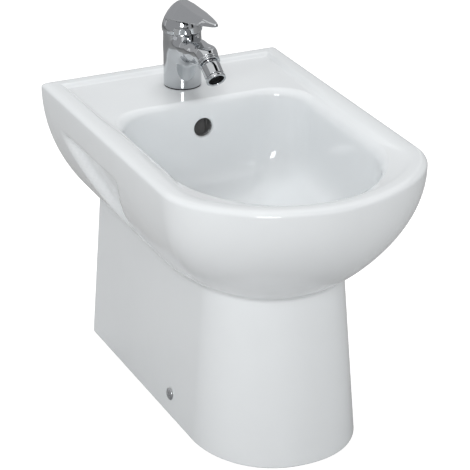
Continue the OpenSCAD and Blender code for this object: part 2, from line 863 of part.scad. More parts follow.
// ---- Waste: sizes and levels ----
flange_r = 32;
flange_z = floor_z + 1.5;
flange_t = 2.5;
waste_r = 22;
waste_in_r = 19;
low_gasket_t = 3;
low_washer_t = 1.5;
backnut_t = 7;
clamp_stack = low_gasket_t + low_washer_t + backnut_t; // what clamps the waste from below
waste_low_z = boss_z - clamp_stack - 8.5;

// ---- Pop-up ----
rod_top = 44;
rod_low = -100; // the rod's lower end, along its axis
strap_s = -90; // where the strap clamps the rod
lift_travel = 34;
pivot_arm = 34; // from the waste's axis to the pivot
tail_port_h = waste_low_z - 17; // height of the ball rod's pivot
strap_y = tap_y + rod_y + strap_s * sin(rod_lean);
strap_z = deck_z + strap_s * cos(rod_lean);
strap_screw_r = 1.8;
pivot_ball_r = 6;
port_out_r = 9; // outside of the waste's side port
ball_rod_r = 2.2;
slot_r = ball_rod_r + 0.6; // the strap's slot lets the rod swing
slot_rise = 2.2;
arm_out = strap_y - waste_y - pivot_arm;
rest_angle = atan(lift_travel * cos(rod_lean) / 2 / arm_out);
strap_hole_z = tail_port_h - arm_out * tan(rest_angle);
rest_inner_z = tail_port_h + pivot_arm * tan(rest_angle);

module rod_bush() color(white_plastic)
    on_rod(6)
        tube(bush_r, rod_r + slip, 20);

module lift_rod() color(chrome)
    on_rod(rod_low)
        cylinder(r = rod_r, h = rod_top - rod_low);

module lift_knob() color(chrome)
    on_rod(rod_top)
        rotate_extrude()
            polygon([[0, 0], [4, 0], [4.6, 0.5], [5, 3], [8.8, 6.5], [9.3, 8.5], [8.8, 10.5],
                [6, 12], [0, 12.6]]);

module link_strap() color(steel)
    difference() {
        union() {
            on_rod(strap_s - 6)
                cylinder(r = 5.5, h = 12);
            translate([-5, strap_y - 1, strap_hole_z - 8])
                cube([10, 2, strap_z - strap_hole_z + 6]);
        }
        on_rod(rod_low - 30)
            cylinder(r = rod_r + slip, h = 60);
        on_rod(strap_s)
            rotate([0, 90, 0])
                cylinder(r = strap_screw_r + slip, h = 20);
        for (dz = [-slot_rise, slot_rise])
            translate([0, strap_y, strap_hole_z + dz])
                rotate([90, 0, 0])
                    cylinder(r = slot_r, h = 10, center = true);
        translate([-slot_r, strap_y - 5, strap_hole_z - slot_rise])
            cube([2 * slot_r, 10, 2 * slot_rise]);
    }

module strap_screw() color(brass)
    on_rod(strap_s)
        rotate([0, 90, 0]) {
            translate([0, 0, rod_r + slip])
                cylinder(r = strap_screw_r, h = 8);
            translate([0, 0, rod_r + 5])
                cylinder(r = 5, h = 4);
        }

module on_ball_rod() {
    translate([0, waste_y + pivot_arm, tail_port_h])
        rotate([-90 - rest_angle, 0, 0])
            children();
}

module ball_rod() color(steel)
    on_ball_rod()
        translate([0, 0, -pivot_arm - 3])
            cylinder(r = ball_rod_r, h = pivot_arm + 3 + arm_out + 16);

module pivot_ball() color(white_plastic)
    on_ball_rod()
        difference() {
            sphere(r = pivot_ball_r);
            translate([0, 0, -10])
                cylinder(r = ball_rod_r + seat, h = 20);
        }

// ---- Waste: pieces ----
raise = 2 * pivot_arm * tan(rest_angle); // travel of the stopper
closed_gap = 0.4; // left under the closed stopper's seal
seal_h = 2;
cap_z = flange_z + flange_t + raise + closed_gap;

module at_waste(z = 0) {
    translate([0, waste_y, z])
        children();
}

module stopper_cap() color(chrome)
    at_waste(cap_z + seal_h)
        rotate_extrude()
            polygon([[0, 0], [27, 0], [30, 0.6], [30.5, 1.4], [29.5, 2.6], [22, 4.4], [12, 5.4], [0, 5.8]]);

module stopper_seal() color(rubber)
    at_waste(cap_z)
        tube(waste_r + 4.5, waste_r - 1, seal_h);

module stopper_stem() color(brass)
    difference() {
        union() {
            at_waste(rest_inner_z + 5)
                cylinder(r = 3.2, h = cap_z + seal_h - rest_inner_z - 5);
            at_waste(rest_inner_z)
                cube([9, 8, 14], center = true);
        }
        at_waste(rest_inner_z)
            rotate([90, 0, 0])
                cylinder(r = ball_rod_r + 1, h = 20, center = true);
    }

module waste_flange() color(chrome)
    difference() {
        union() {
            at_waste(flange_z)
                cylinder(r1 = flange_r, r2 = flange_r - 1.5, h = flange_t);
            at_waste(waste_low_z)
                cylinder(r = waste_r, h = flange_z - waste_low_z + eps);
        }
        at_waste(waste_low_z - eps)
            cylinder(r = waste_in_r, h = through);
        for (a = [0, 90])
            at_waste(duct_low_z + duct_floor_h / 2)
                rotate([0, 0, a])
                    cube([3 * waste_r, 14, duct_floor_h - 6], center = true);
    }

module waste_gasket_top() color(rubber)
    at_waste(floor_z)
        tube(flange_r - 1, waste_hole_d / 2, flange_z - floor_z);

module waste_gasket_bottom() color(rubber)
    at_waste(boss_z - low_gasket_t)
        tube(backnut_r + 1, waste_r + slip, low_gasket_t);

module waste_washer() color(white_plastic)
    at_waste(boss_z - low_gasket_t - low_washer_t)
        tube(backnut_r, waste_r + slip, low_washer_t);

backnut_r = 32;
module waste_backnut() color(brass)
    at_waste(boss_z - clamp_stack)
        difference() {
            cylinder(r = backnut_r, h = backnut_t, $fn = 8);
            translate([0, 0, -eps])
                cylinder(r = waste_r + slip, h = backnut_t + 2 * eps);
        }

tail_wall = 3.5;
tail_cup_z = waste_low_z - 3;
tail_low_z = outlet_h + 26;
port_bore_r = pivot_ball_r + 0.1;
module waste_tail() color(brass)
    difference() {
        union() {
            at_waste(tail_cup_z)
                cylinder(r = waste_r + tail_wall, h = boss_z - clamp_stack - 0.5 - tail_cup_z);
            at_waste(tail_low_z)
                cylinder(d = pipe_d, h = tail_cup_z - tail_low_z + 1);
            at_waste(tail_cup_z - 14)
                cylinder(r1 = pipe_d / 2, r2 = waste_r + tail_wall, h = 14);
            at_waste(tail_port_h)
                rotate([-90, 0, 0])
                    cylinder(r = port_out_r, h = pivot_arm + 1);
        }
        at_waste(waste_low_z)
            cylinder(r = waste_r + slip, h = 30);
        at_waste(tail_low_z - eps)
            cylinder(r = pipe_d / 2 - pipe_wall, h = through);
        at_waste(waste_low_z - 12)
            cylinder(r1 = pipe_d / 2 - pipe_wall, r2 = waste_in_r, h = 12 + slip);
        at_waste(tail_port_h)
            rotate([-90, 0, 0])
                cylinder(r = port_bore_r, h = 60);
    }

module on_port(s) {
    at_waste(tail_port_h)
        rotate([-90, 0, 0])
            translate([0, 0, s])
                children();
}

module ball_seal() color(rubber)
    difference() {
        on_port(pivot_arm - 7)
            cylinder(r = port_bore_r - slip, h = 5);
        on_port(pivot_arm)
            sphere(r = pivot_ball_r + slip);
        on_port(pivot_arm - 10)
            cylinder(r = ball_rod_r + 1.2, h = 10);
    }

module ball_nut() color(white_plastic)
    difference() {
        on_port(pivot_arm - 8)
            cylinder(r = port_out_r + 3, h = 14);
        on_port(pivot_arm - 8 - eps)
            cylinder(r = port_out_r + slip, h = 9 + eps + slip);
        on_port(pivot_arm)
            sphere(r = pivot_ball_r + slip);
        on_port(pivot_arm + 3)
            cylinder(r1 = 4, r2 = 6.5, h = 4);
    }

// ---- Bottle trap ----
trap_top_z = outlet_h + 20;
trap_low_z = outlet_h - 34;
neck_r = pipe_d / 2 + 4.5;
neck_top_z = trap_top_z + 12;
trap_wall = 2.5;
stub_len = 24;
nut_len = 16; // the trap's two nuts
nut_over = 10; // how far a nut reaches back over its neck
nut_wall = 5;

module trap_body() color(white_plastic)
    difference() {
        union() {
            at_waste(trap_low_z)
                cylinder(r = trap_r, h = trap_top_z - trap_low_z);
            at_waste(trap_top_z - 1)
                cylinder(r = neck_r, h = neck_top_z - trap_top_z + 1);
            at_waste(outlet_h)
                rotate([-90, 0, 0])
                    cylinder(r = neck_r, h = trap_r + stub_len);
        }
        at_waste(trap_low_z - eps)
            cylinder(r = trap_r - trap_wall, h = trap_top_z - trap_low_z - 3 + eps);
        at_waste(trap_low_z)
            cylinder(r = pipe_d / 2 + slip, h = through);
        at_waste(outlet_h)
            rotate([-90, 0, 0])
                cylinder(r = spigot_r + slip, h = through);
    }

// A nut over a neck and its washer, round a pipe.
module trap_nut(pipe_r) {
    difference() {
        cylinder(r = neck_r + nut_wall, h = nut_len);
        translate([0, 0, -eps])
            cylinder(r = neck_r + slip, h = nut_over + 3 + eps);
        cylinder(r = pipe_r + slip, h = through);
    }
}

module trap_inlet_nut() color(white_plastic)
    at_waste(neck_top_z - nut_over)
        trap_nut(pipe_d / 2);

module trap_inlet_washer() color(rubber)
    at_waste(neck_top_z)
        tube(neck_r, pipe_d / 2 + slip, 3);

dip_low_z = outlet_h - 50;
module trap_dip_tube() color(white_plastic)
    at_waste(dip_low_z)
        difference() {
            union() {
                cylinder(r = pipe_d / 2 - 0.2, h = trap_top_z - 3.2 - dip_low_z);
                translate([0, 0, trap_top_z - 6 - dip_low_z])
                    cylinder(r = trap_r - trap_wall - 0.3, h = 2.8);
            }
            translate([0, 0, -eps])
                cylinder(r = pipe_d / 2 - 2, h = through);
        }

module trap_cup_seal() color(rubber)
    at_waste(trap_low_z - 3)
        tube(trap_r, trap_r - trap_wall, 3);

cup_low_z = outlet_h - 64;
module trap_cup() color(white_plastic)
    at_waste(cup_low_z)
        difference() {
            cylinder(r = trap_r + 3, h = trap_low_z + 12 - cup_low_z);
            translate([0, 0, trap_low_z - 3 - cup_low_z])
                cylinder(r = trap_r + slip, h = 30);
            translate([0, 0, 3])
                cylinder(r = trap_r - trap_wall, h = 60);
        }

stub_end_y = waste_y + trap_r + stub_len; // end of the trap's outlet stub
spigot_r = pipe_d / 2 - 0.5; // the pipe's end inside the trap
pipe_shoulder_y = stub_end_y + 10;
module on_outlet(y) {
    translate([0, y, outlet_h])
        rotate([-90, 0, 0])
            children();
}

module outlet_nut() color(white_plastic)
    on_outlet(stub_end_y - nut_over)
        trap_nut(spigot_r);

module outlet_washer() color(rubber)
    on_outlet(stub_end_y)
        tube(neck_r, spigot_r + slip, 3);

module outlet_pipe() color(white_plastic)
    difference() {
        union() {
            on_outlet(stub_end_y - 20)
                cylinder(r = spigot_r, h = pipe_shoulder_y - stub_end_y + 21);
            on_outlet(pipe_shoulder_y)
                cylinder(d = pipe_d, h = wall_y - pipe_end_gap - pipe_shoulder_y);
        }
        on_outlet(stub_end_y - 20 - eps)
            cylinder(r = spigot_r - pipe_wall, h = through);
    }

ceramic_body();
side_caps();
side_screws();
side_sleeves();
floor_brackets();
mixer_body();
base_gasket();
mounting_stud();
clamp_rubber();
clamp_washer();
stud_nut();
cartridge_housing();
cartridge_seals();
fixed_disc();
cartridge_nut();
dome_cap();
index_plug();
spout_collar();
rod_bush();
cartridge_rotor();
stem_pin();
lever();
lever_stem();
lever_screw();
moving_disc();
disc_carrier();
ball_seat();
nozzle_ball();
aerator_housing();
aerator_insert();
aerator_seal();
lift_rod();
lift_knob();
link_strap();
strap_screw();
ball_rod();
pivot_ball();
stopper_cap();
stopper_seal();
stopper_stem();
waste_flange();
waste_gasket_top();
waste_gasket_bottom();
waste_washer();
waste_backnut();
waste_tail();
ball_seal();
ball_nut();
trap_inlet_nut();
trap_inlet_washer();
trap_body();
trap_dip_tube();
trap_cup_seal();
trap_cup();
outlet_nut();
outlet_washer();
outlet_pipe();
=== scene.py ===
"""Looks of a floor standing bidet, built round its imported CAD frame.

Shapes are worked out in millimetres, as on a maker's drawing, and become metres when a mesh is
made. X runs across, -Y to the front, +Y to the wall and Z up, with the origin on the floor.
"""

from __future__ import annotations

import json
import logging
import math
from dataclasses import dataclass, field
from enum import Enum, IntEnum
from itertools import product
from typing import Callable, Sequence

import bmesh
import bpy
import numpy as np
from mathutils import Matrix, Vector
from mathutils.bvhtree import BVHTree
from mathutils.interpolate import poly_3d_calc

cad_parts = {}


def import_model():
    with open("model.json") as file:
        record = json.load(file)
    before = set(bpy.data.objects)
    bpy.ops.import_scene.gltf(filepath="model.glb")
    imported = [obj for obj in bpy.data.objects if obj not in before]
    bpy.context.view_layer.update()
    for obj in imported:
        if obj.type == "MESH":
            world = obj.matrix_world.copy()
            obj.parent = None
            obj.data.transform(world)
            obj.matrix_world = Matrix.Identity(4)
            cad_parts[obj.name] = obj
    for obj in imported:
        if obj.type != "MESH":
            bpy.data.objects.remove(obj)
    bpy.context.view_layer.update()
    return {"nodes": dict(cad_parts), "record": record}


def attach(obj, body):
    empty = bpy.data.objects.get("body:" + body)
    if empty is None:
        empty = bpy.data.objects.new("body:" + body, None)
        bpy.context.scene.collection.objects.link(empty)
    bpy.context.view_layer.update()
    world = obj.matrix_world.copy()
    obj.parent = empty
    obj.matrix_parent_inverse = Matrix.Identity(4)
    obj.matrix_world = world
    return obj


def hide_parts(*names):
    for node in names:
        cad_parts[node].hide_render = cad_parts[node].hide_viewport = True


MM = 0.001
TINY = 1e-6
QUARTER = math.pi / 2
SIDE_SHARE = 0.47  # the most of a side that a rounded corner takes
CREASE_DEG = 32.0  # bends of turned pieces that are sharper than this stay sharp
log = logging.getLogger("bidet")

Array = np.ndarray
Piece = bpy.types.Object
Colour = tuple[float, float, float]
Corner = tuple[float, float, float]
Faces = list[tuple[int, ...]]
Rings = list[tuple[Array, float]]


class Action(Enum):
    """What a shaping tool does, by its boolean."""

    ADD = "UNION"
    CUT = "DIFFERENCE"


Tool = tuple[Piece, Action, int]


# ---------------------------------------------------------------- nodes and finishes


class Graph:
    """Short ways to add nodes and links to one node tree."""

    def __init__(self, tree: bpy.types.NodeTree) -> None:
        """Takes hold of a tree."""
        self.tree = tree

    def feed(self, node: bpy.types.Node, inputs: dict[str | int, object]) -> None:
        """Links sockets to a node's inputs and sets the others to constants.

        Args:
            node: The node.
            inputs: A socket or a constant for each input, by its name or number.
        """
        for key, value in inputs.items():
            if isinstance(value, bpy.types.NodeSocket):
                self.tree.links.new(value, node.inputs[key])
            else:
                node.inputs[key].default_value = value

    def add(self, kind: str, inputs: dict[str | int, object] | None = None, out: str | int = 0,
            **settings: object) -> bpy.types.NodeSocket:
        """Adds a node.

        Args:
            kind: The node's type.
            inputs: Its inputs, as for feed.
            out: The output that is wanted.
            settings: The node's own settings.

        Returns:
            The wanted output.
        """
        node = self.tree.nodes.new(kind)
        for name, value in settings.items():
            setattr(node, name, value)
        self.feed(node, inputs or {})
        return node.outputs[out]


def node_material(name: str) -> tuple[bpy.types.Material, Graph]:
    """Makes a new node material.

    Args:
        name: Its name.

    Returns:
        The material and its graph.
    """
    material = bpy.data.materials.new(name)
    material.use_nodes = True
    return material, Graph(material.node_tree)


class Grain(Enum):
    """The pattern that a finish carries, each on Object coordinates."""

    CLOUDED = "clouded"
    BRUSHED = "brushed"
    SPECKLED = "speckled"
    THREADED = "threaded"


@dataclass(frozen=True)
class Finish:
    """One surface finish, made as a node material.

    The grain is given in millimetres, and the relief is the strength of its bump.
    """

    name: str
    colour: Colour
    roughness: float
    metallic: float = 0.0
    specular: float = 0.5
    grain: Grain = Grain.CLOUDED
    grain_mm: float = 4.0
    tint: float = 0.04
    rough_swing: float = 0.03
    relief: float = 0.05

    BRUSH_STRETCH = 0.06
    WAVE_SCALE = 0.314
    BUMP_SHARE = 0.1
    LEAST_ROUGH = 0.01

    def material(self) -> bpy.types.Material:
        """Makes the node material, or finds it where it is already made.

        Returns:
            The material of this finish.
        """
        known = bpy.data.materials.get(self.name)
        if known:
            return known
        material, graph = node_material(self.name)
        pattern = self._pattern(graph)
        graph.feed(graph.tree.nodes["Principled BSDF"], {
            "Metallic": self.metallic,
            "Specular IOR Level": self.specular,
            "Base Color": graph.add("ShaderNodeMix", {
                "A": self._toned(1 - self.tint), "B": self._toned(1 + self.tint), "Factor": pattern,
            }, "Result", data_type="RGBA"),
            "Roughness": graph.add("ShaderNodeMapRange", {
                "To Min": max(self.LEAST_ROUGH, self.roughness - self.rough_swing),
                "To Max": self.roughness + self.rough_swing, "Value": pattern}),
            "Normal": graph.add("ShaderNodeBump", {
                "Strength": self.relief, "Distance": self.BUMP_SHARE * self.grain_mm * MM,
                "Height": pattern}),
        })
        return material

    def _toned(self, factor: float) -> tuple[float, float, float, float]:
        """The finish's colour made lighter or darker by a factor."""
        return (*[min(1.0, c * factor) for c in self.colour], 1.0)

    def _pattern(self, graph: Graph) -> bpy.types.NodeSocket:
        """Adds the nodes of the grain.

        Args:
            graph: The material's graph.

        Returns:
            The socket that carries the grain, from 0 to 1.
        """
        pitch = self.grain_mm * MM
        stretch = self.BRUSH_STRETCH if self.grain is Grain.BRUSHED else 1.0
        place = graph.add("ShaderNodeMapping", {
            "Vector": graph.add("ShaderNodeTexCoord", out="Object"), "Scale": (1.0, 1.0, stretch)})
        if self.grain is Grain.THREADED:
            return graph.add("ShaderNodeTexWave", {
                "Scale": self.WAVE_SCALE / pitch, "Distortion": 0.0, "Vector": place},
                "Fac", bands_direction="Z")
        if self.grain is Grain.SPECKLED:
            return graph.add("ShaderNodeTexVoronoi",
                             {"Scale": 1 / pitch, "Vector": place}, "Distance")
        return graph.add("ShaderNodeTexNoise", {
            "Scale": 1 / pitch, "Detail": 3.0, "Vector": place}, "Fac")


GLAZE = Finish("white_glaze", (0.80, 0.825, 0.84), 0.07, grain_mm=45, tint=0.012, rough_swing=0.02,
               relief=0.04)
BISQUE = Finish("unglazed_ceramic", (0.70, 0.68, 0.64), 0.75, grain=Grain.SPECKLED, grain_mm=1.2,
                tint=0.06, relief=0.25)
# Painted shade: the overflow duct's inside is coloured near black to stand in for the shade deep
# inside it, not for a dark material.
DUCT_PAINTED_SHADE = Finish("shaded_duct", (0.16, 0.16, 0.16), 0.6, grain=Grain.SPECKLED, grain_mm=1.5, tint=0.10,
              rough_swing=0.08, relief=0.2)
CHROME = Finish("polished_chrome", (0.53, 0.545, 0.56), 0.06, metallic=1.0, grain_mm=14, tint=0.02,
                rough_swing=0.02, relief=0.01)
RUBBER = Finish("black_rubber", (0.010, 0.010, 0.011), 0.62, specular=0.25, grain_mm=0.8, tint=0.25,
                rough_swing=0.08, relief=0.2)
WHITE_PLASTIC = Finish("white_plastic", (0.74, 0.74, 0.71), 0.36, grain_mm=0.9, tint=0.03,
                       rough_swing=0.06, relief=0.10)
THREAD_STEEL = Finish("threaded_steel", (0.50, 0.51, 0.53), 0.30, metallic=1.0,
                      grain=Grain.THREADED, grain_mm=1.0, tint=0.15, relief=0.8)
SLOT_FINISHES = {
    "glaze": GLAZE,
    "chrome": CHROME,
    "rubber": RUBBER,
    "white_plastic": WHITE_PLASTIC,
    "brass": Finish("machined_brass", (0.66, 0.48, 0.20), 0.28, metallic=1.0, grain=Grain.BRUSHED,
                    grain_mm=0.5, tint=0.10, rough_swing=0.08, relief=0.15),
    "steel": Finish("brushed_steel", (0.50, 0.51, 0.53), 0.32, metallic=1.0, grain=Grain.BRUSHED,
                    grain_mm=0.4, tint=0.08, rough_swing=0.08, relief=0.15),
    "grey_plastic": Finish("grey_plastic", (0.13, 0.135, 0.145), 0.40, grain_mm=0.8, tint=0.08,
                           rough_swing=0.06, relief=0.12),
    "disc_ceramic": Finish("lapped_ceramic", (0.72, 0.67, 0.56), 0.18, grain=Grain.SPECKLED,
                           grain_mm=0.5, tint=0.05, relief=0.04),
}
NODE_FINISHES = {"mounting_stud": THREAD_STEEL}


# ---------------------------------------------------------------- meshes


def smooth_step(a: float, b: float, x: Array) -> Array:
    """A smooth rise from 0 at a to 1 at b."""
    t = np.clip((x - a) / (b - a), 0.0, 1.0)
    return t * t * (3 - 2 * t)


def bend(a: Array | Vector, corner: Array | Vector, b: Array | Vector,
         t: float) -> Array | Vector:
    """A point at a share of the curve from a to b that leans towards a corner."""
    return a * (1 - t) ** 2 + corner * 2 * t * (1 - t) + b * t * t


def shift(x: float, y: float, z: float) -> Matrix:
    """A move, in the units of what it moves."""
    return Matrix.Translation((x, y, z))


def spin(angle: float, axis: str) -> Matrix:
    """A turn about an axis, in radians."""
    return Matrix.Rotation(angle, 4, axis)


def moved(points: Array, place: Matrix) -> Array:
    """Points carried from a piece's own axes to their place, in millimetres."""
    m = np.array(place)
    return points @ m[:3, :3].T + m[:3, 3]


def make_mesh(name: str, points: Array, faces: Faces,
              finishes: Sequence[Finish]) -> Piece:
    """Makes a mesh object whose place is in its mesh.

    Args:
        name: The object's name.
        points: The vertices, in millimetres.
        faces: The faces' vertex numbers.
        finishes: The finishes of the material slots.

    Returns:
        The new object, linked to the scene.
    """
    mesh = bpy.data.meshes.new(name)
    mesh.from_pydata((np.asarray(points) * MM).tolist(), [], faces)
    for finish in finishes:
        mesh.materials.append(finish.material())
    piece = bpy.data.objects.new(name, mesh)
    bpy.context.scene.collection.objects.link(piece)
    return piece


def cuboid(low: Corner, high: Corner) -> tuple[Array, Faces]:
    """The vertices and faces of a box between two corners."""
    faces = [(0, 1, 3, 2), (4, 6, 7, 5), (0, 4, 5, 1), (2, 3, 7, 6), (0, 2, 6, 4), (1, 5, 7, 3)]
    return np.array(list(product(*zip(low, high)))), faces


def turn_outwards(piece: Piece) -> None:
    """Turns the faces of a closed mesh outwards.

    Args:
        piece: The piece with the mesh.
    """
    shape = bmesh.new()
    shape.from_mesh(piece.data)
    bmesh.ops.recalc_face_normals(shape, faces=shape.faces)
    shape.to_mesh(piece.data)
    shape.free()


def smooth_shading(piece: Piece, edge_deg: float = CREASE_DEG) -> None:
    """Smooths a mesh's shading, with sharp edges where it bends by more than an angle."""
    piece.data.shade_smooth()
    piece.data.set_sharp_from_angle(angle=math.radians(edge_deg))


def bake_modifiers(piece: Piece) -> None:
    """Turns a piece's evaluated shape into its plain mesh and removes its modifiers.

    Args:
        piece: The piece with its modifiers.
    """
    graph = bpy.context.evaluated_depsgraph_get()
    graph.update()
    result = bpy.data.meshes.new_from_object(piece.evaluated_get(graph))
    old = piece.data
    piece.modifiers.clear()
    piece.data = result
    bpy.data.meshes.remove(old)


def carve(piece: Piece, tools: Sequence[Tool]) -> None:
    """Adds tool solids to a piece or cuts them away, and removes the tools.

    Args:
        piece: The piece that is shaped.
        tools: Each tool with the boolean that it does and the number of its finish.
    """
    for tool, action, finish in tools:
        turn_outwards(tool)
        tool.data.polygons.foreach_set("material_index", [finish] * len(tool.data.polygons))
        cut = piece.modifiers.new("cut", "BOOLEAN")
        cut.operation = action.value
        cut.solver = "EXACT"
        cut.object = tool
    bake_modifiers(piece)
    for tool, _, _ in tools:
        bpy.data.objects.remove(tool)


def place_mesh(piece: Piece, place: Matrix) -> None:
    """Carries a mesh made round its own axis to its place.

    Args:
        piece: The piece with the mesh.
        place: Its place, in millimetres.
    """
    metres = place.copy()
    metres.translation = place.translation * MM
    piece.data.transform(metres)
    piece.data.update()


def finish_piece(piece: Piece, body: str, slot: str, *nodes: str) -> None:
    """Puts a finished piece on its body in place of its CAD nodes, and reports it.

    Args:
        piece: The finished mesh.
        body: The body that it moves with.
        slot: The record's material slot; it is not used.
        nodes: The CAD nodes that it stands for.
    """
    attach(piece, body)
    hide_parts(*nodes)
    log.info("%s: %d faces, on %s", piece.name, len(piece.data.polygons), body)


def eased(corners: Sequence[Corner], steps: int = 4) -> list[tuple[float, float]]:
    """Rounds the corners of a closed profile.

    Args:
        corners: Each (radius, height, rounding); corners on the axis stay.
        steps: Segments of each rounding.

    Returns:
        The profile's points.
    """
    out: list[tuple[float, float]] = []
    for i, (r, h, size) in enumerate(corners):
        if size <= 0 or r < TINY:
            out.append((r, h))
            continue
        here = Vector((r, h))
        ends = []
        for other in (corners[i - 1], corners[(i + 1) % len(corners)]):
            side = Vector(other[:2]) - here
            ends.append(here + side.normalized() * min(size, SIDE_SHARE * side.length))
        out += [tuple(bend(ends[0], here, ends[1], k / steps)) for k in range(steps + 1)]
    return out


def arc(radius: float, centre: float, start_deg: float, end_deg: float, steps: int) -> list[Corner]:
    """Points of a profile on a ball's surface, from one angle above its middle to another."""
    angles = np.radians(np.linspace(start_deg, end_deg, steps))
    return [(radius * math.cos(a), centre + radius * math.sin(a), 0.0) for a in angles]


def lathe(profile: Sequence[tuple[float, float]], segments: int) -> tuple[Array, Faces]:
    """Turns a closed profile round the Z axis.

    Args:
        profile: The (radius, height) points of a closed outline.
        segments: Points round the axis.

    Returns:
        The vertices and the faces.
    """
    angles = 2 * math.pi * np.arange(segments) / segments
    points: list[list[float]] = []
    rings: list[list[int]] = []
    for r, h in profile:
        start = len(points)
        if r < TINY:
            points.append([0.0, 0.0, h])
            rings.append([start] * segments)
        else:
            points += [[r * math.cos(a), r * math.sin(a), h] for a in angles]
            rings.append(list(range(start, start + segments)))
    faces: Faces = []
    for one, two in zip(rings, rings[1:] + rings[:1]):
        for i in range(segments):
            j = (i + 1) % segments
            corners = tuple(dict.fromkeys((one[i], one[j], two[j], two[i])))
            if len(corners) > 2:
                faces.append(corners)
    return np.array(points), faces


@dataclass
class TurnedPiece:
    """A piece turned on a lathe, with its edges eased."""

    name: str
    corners: Sequence[Corner]
    place: Matrix
    finish: Finish = CHROME
    segments: int = 128

    def build(self) -> Piece:
        """Makes the piece's mesh.

        Returns:
            The new object.
        """
        points, faces = lathe(eased(self.corners), self.segments)
        piece = make_mesh(self.name, moved(points, self.place), faces, [self.finish])
        turn_outwards(piece)
        smooth_shading(piece)
        return piece


def joined(name: str, pieces: Sequence[Piece]) -> Piece:
    """Joins meshes into one object under the first one's materials.

    Args:
        name: The joined object's name.
        pieces: The meshes to join.

    Returns:
        The joined object.
    """
    with bpy.context.temp_override(active_object=pieces[0], selected_editable_objects=list(pieces)):
        bpy.ops.object.join()
    pieces[0].name = name
    return pieces[0]


# ---------------------------------------------------------------- repeated forms


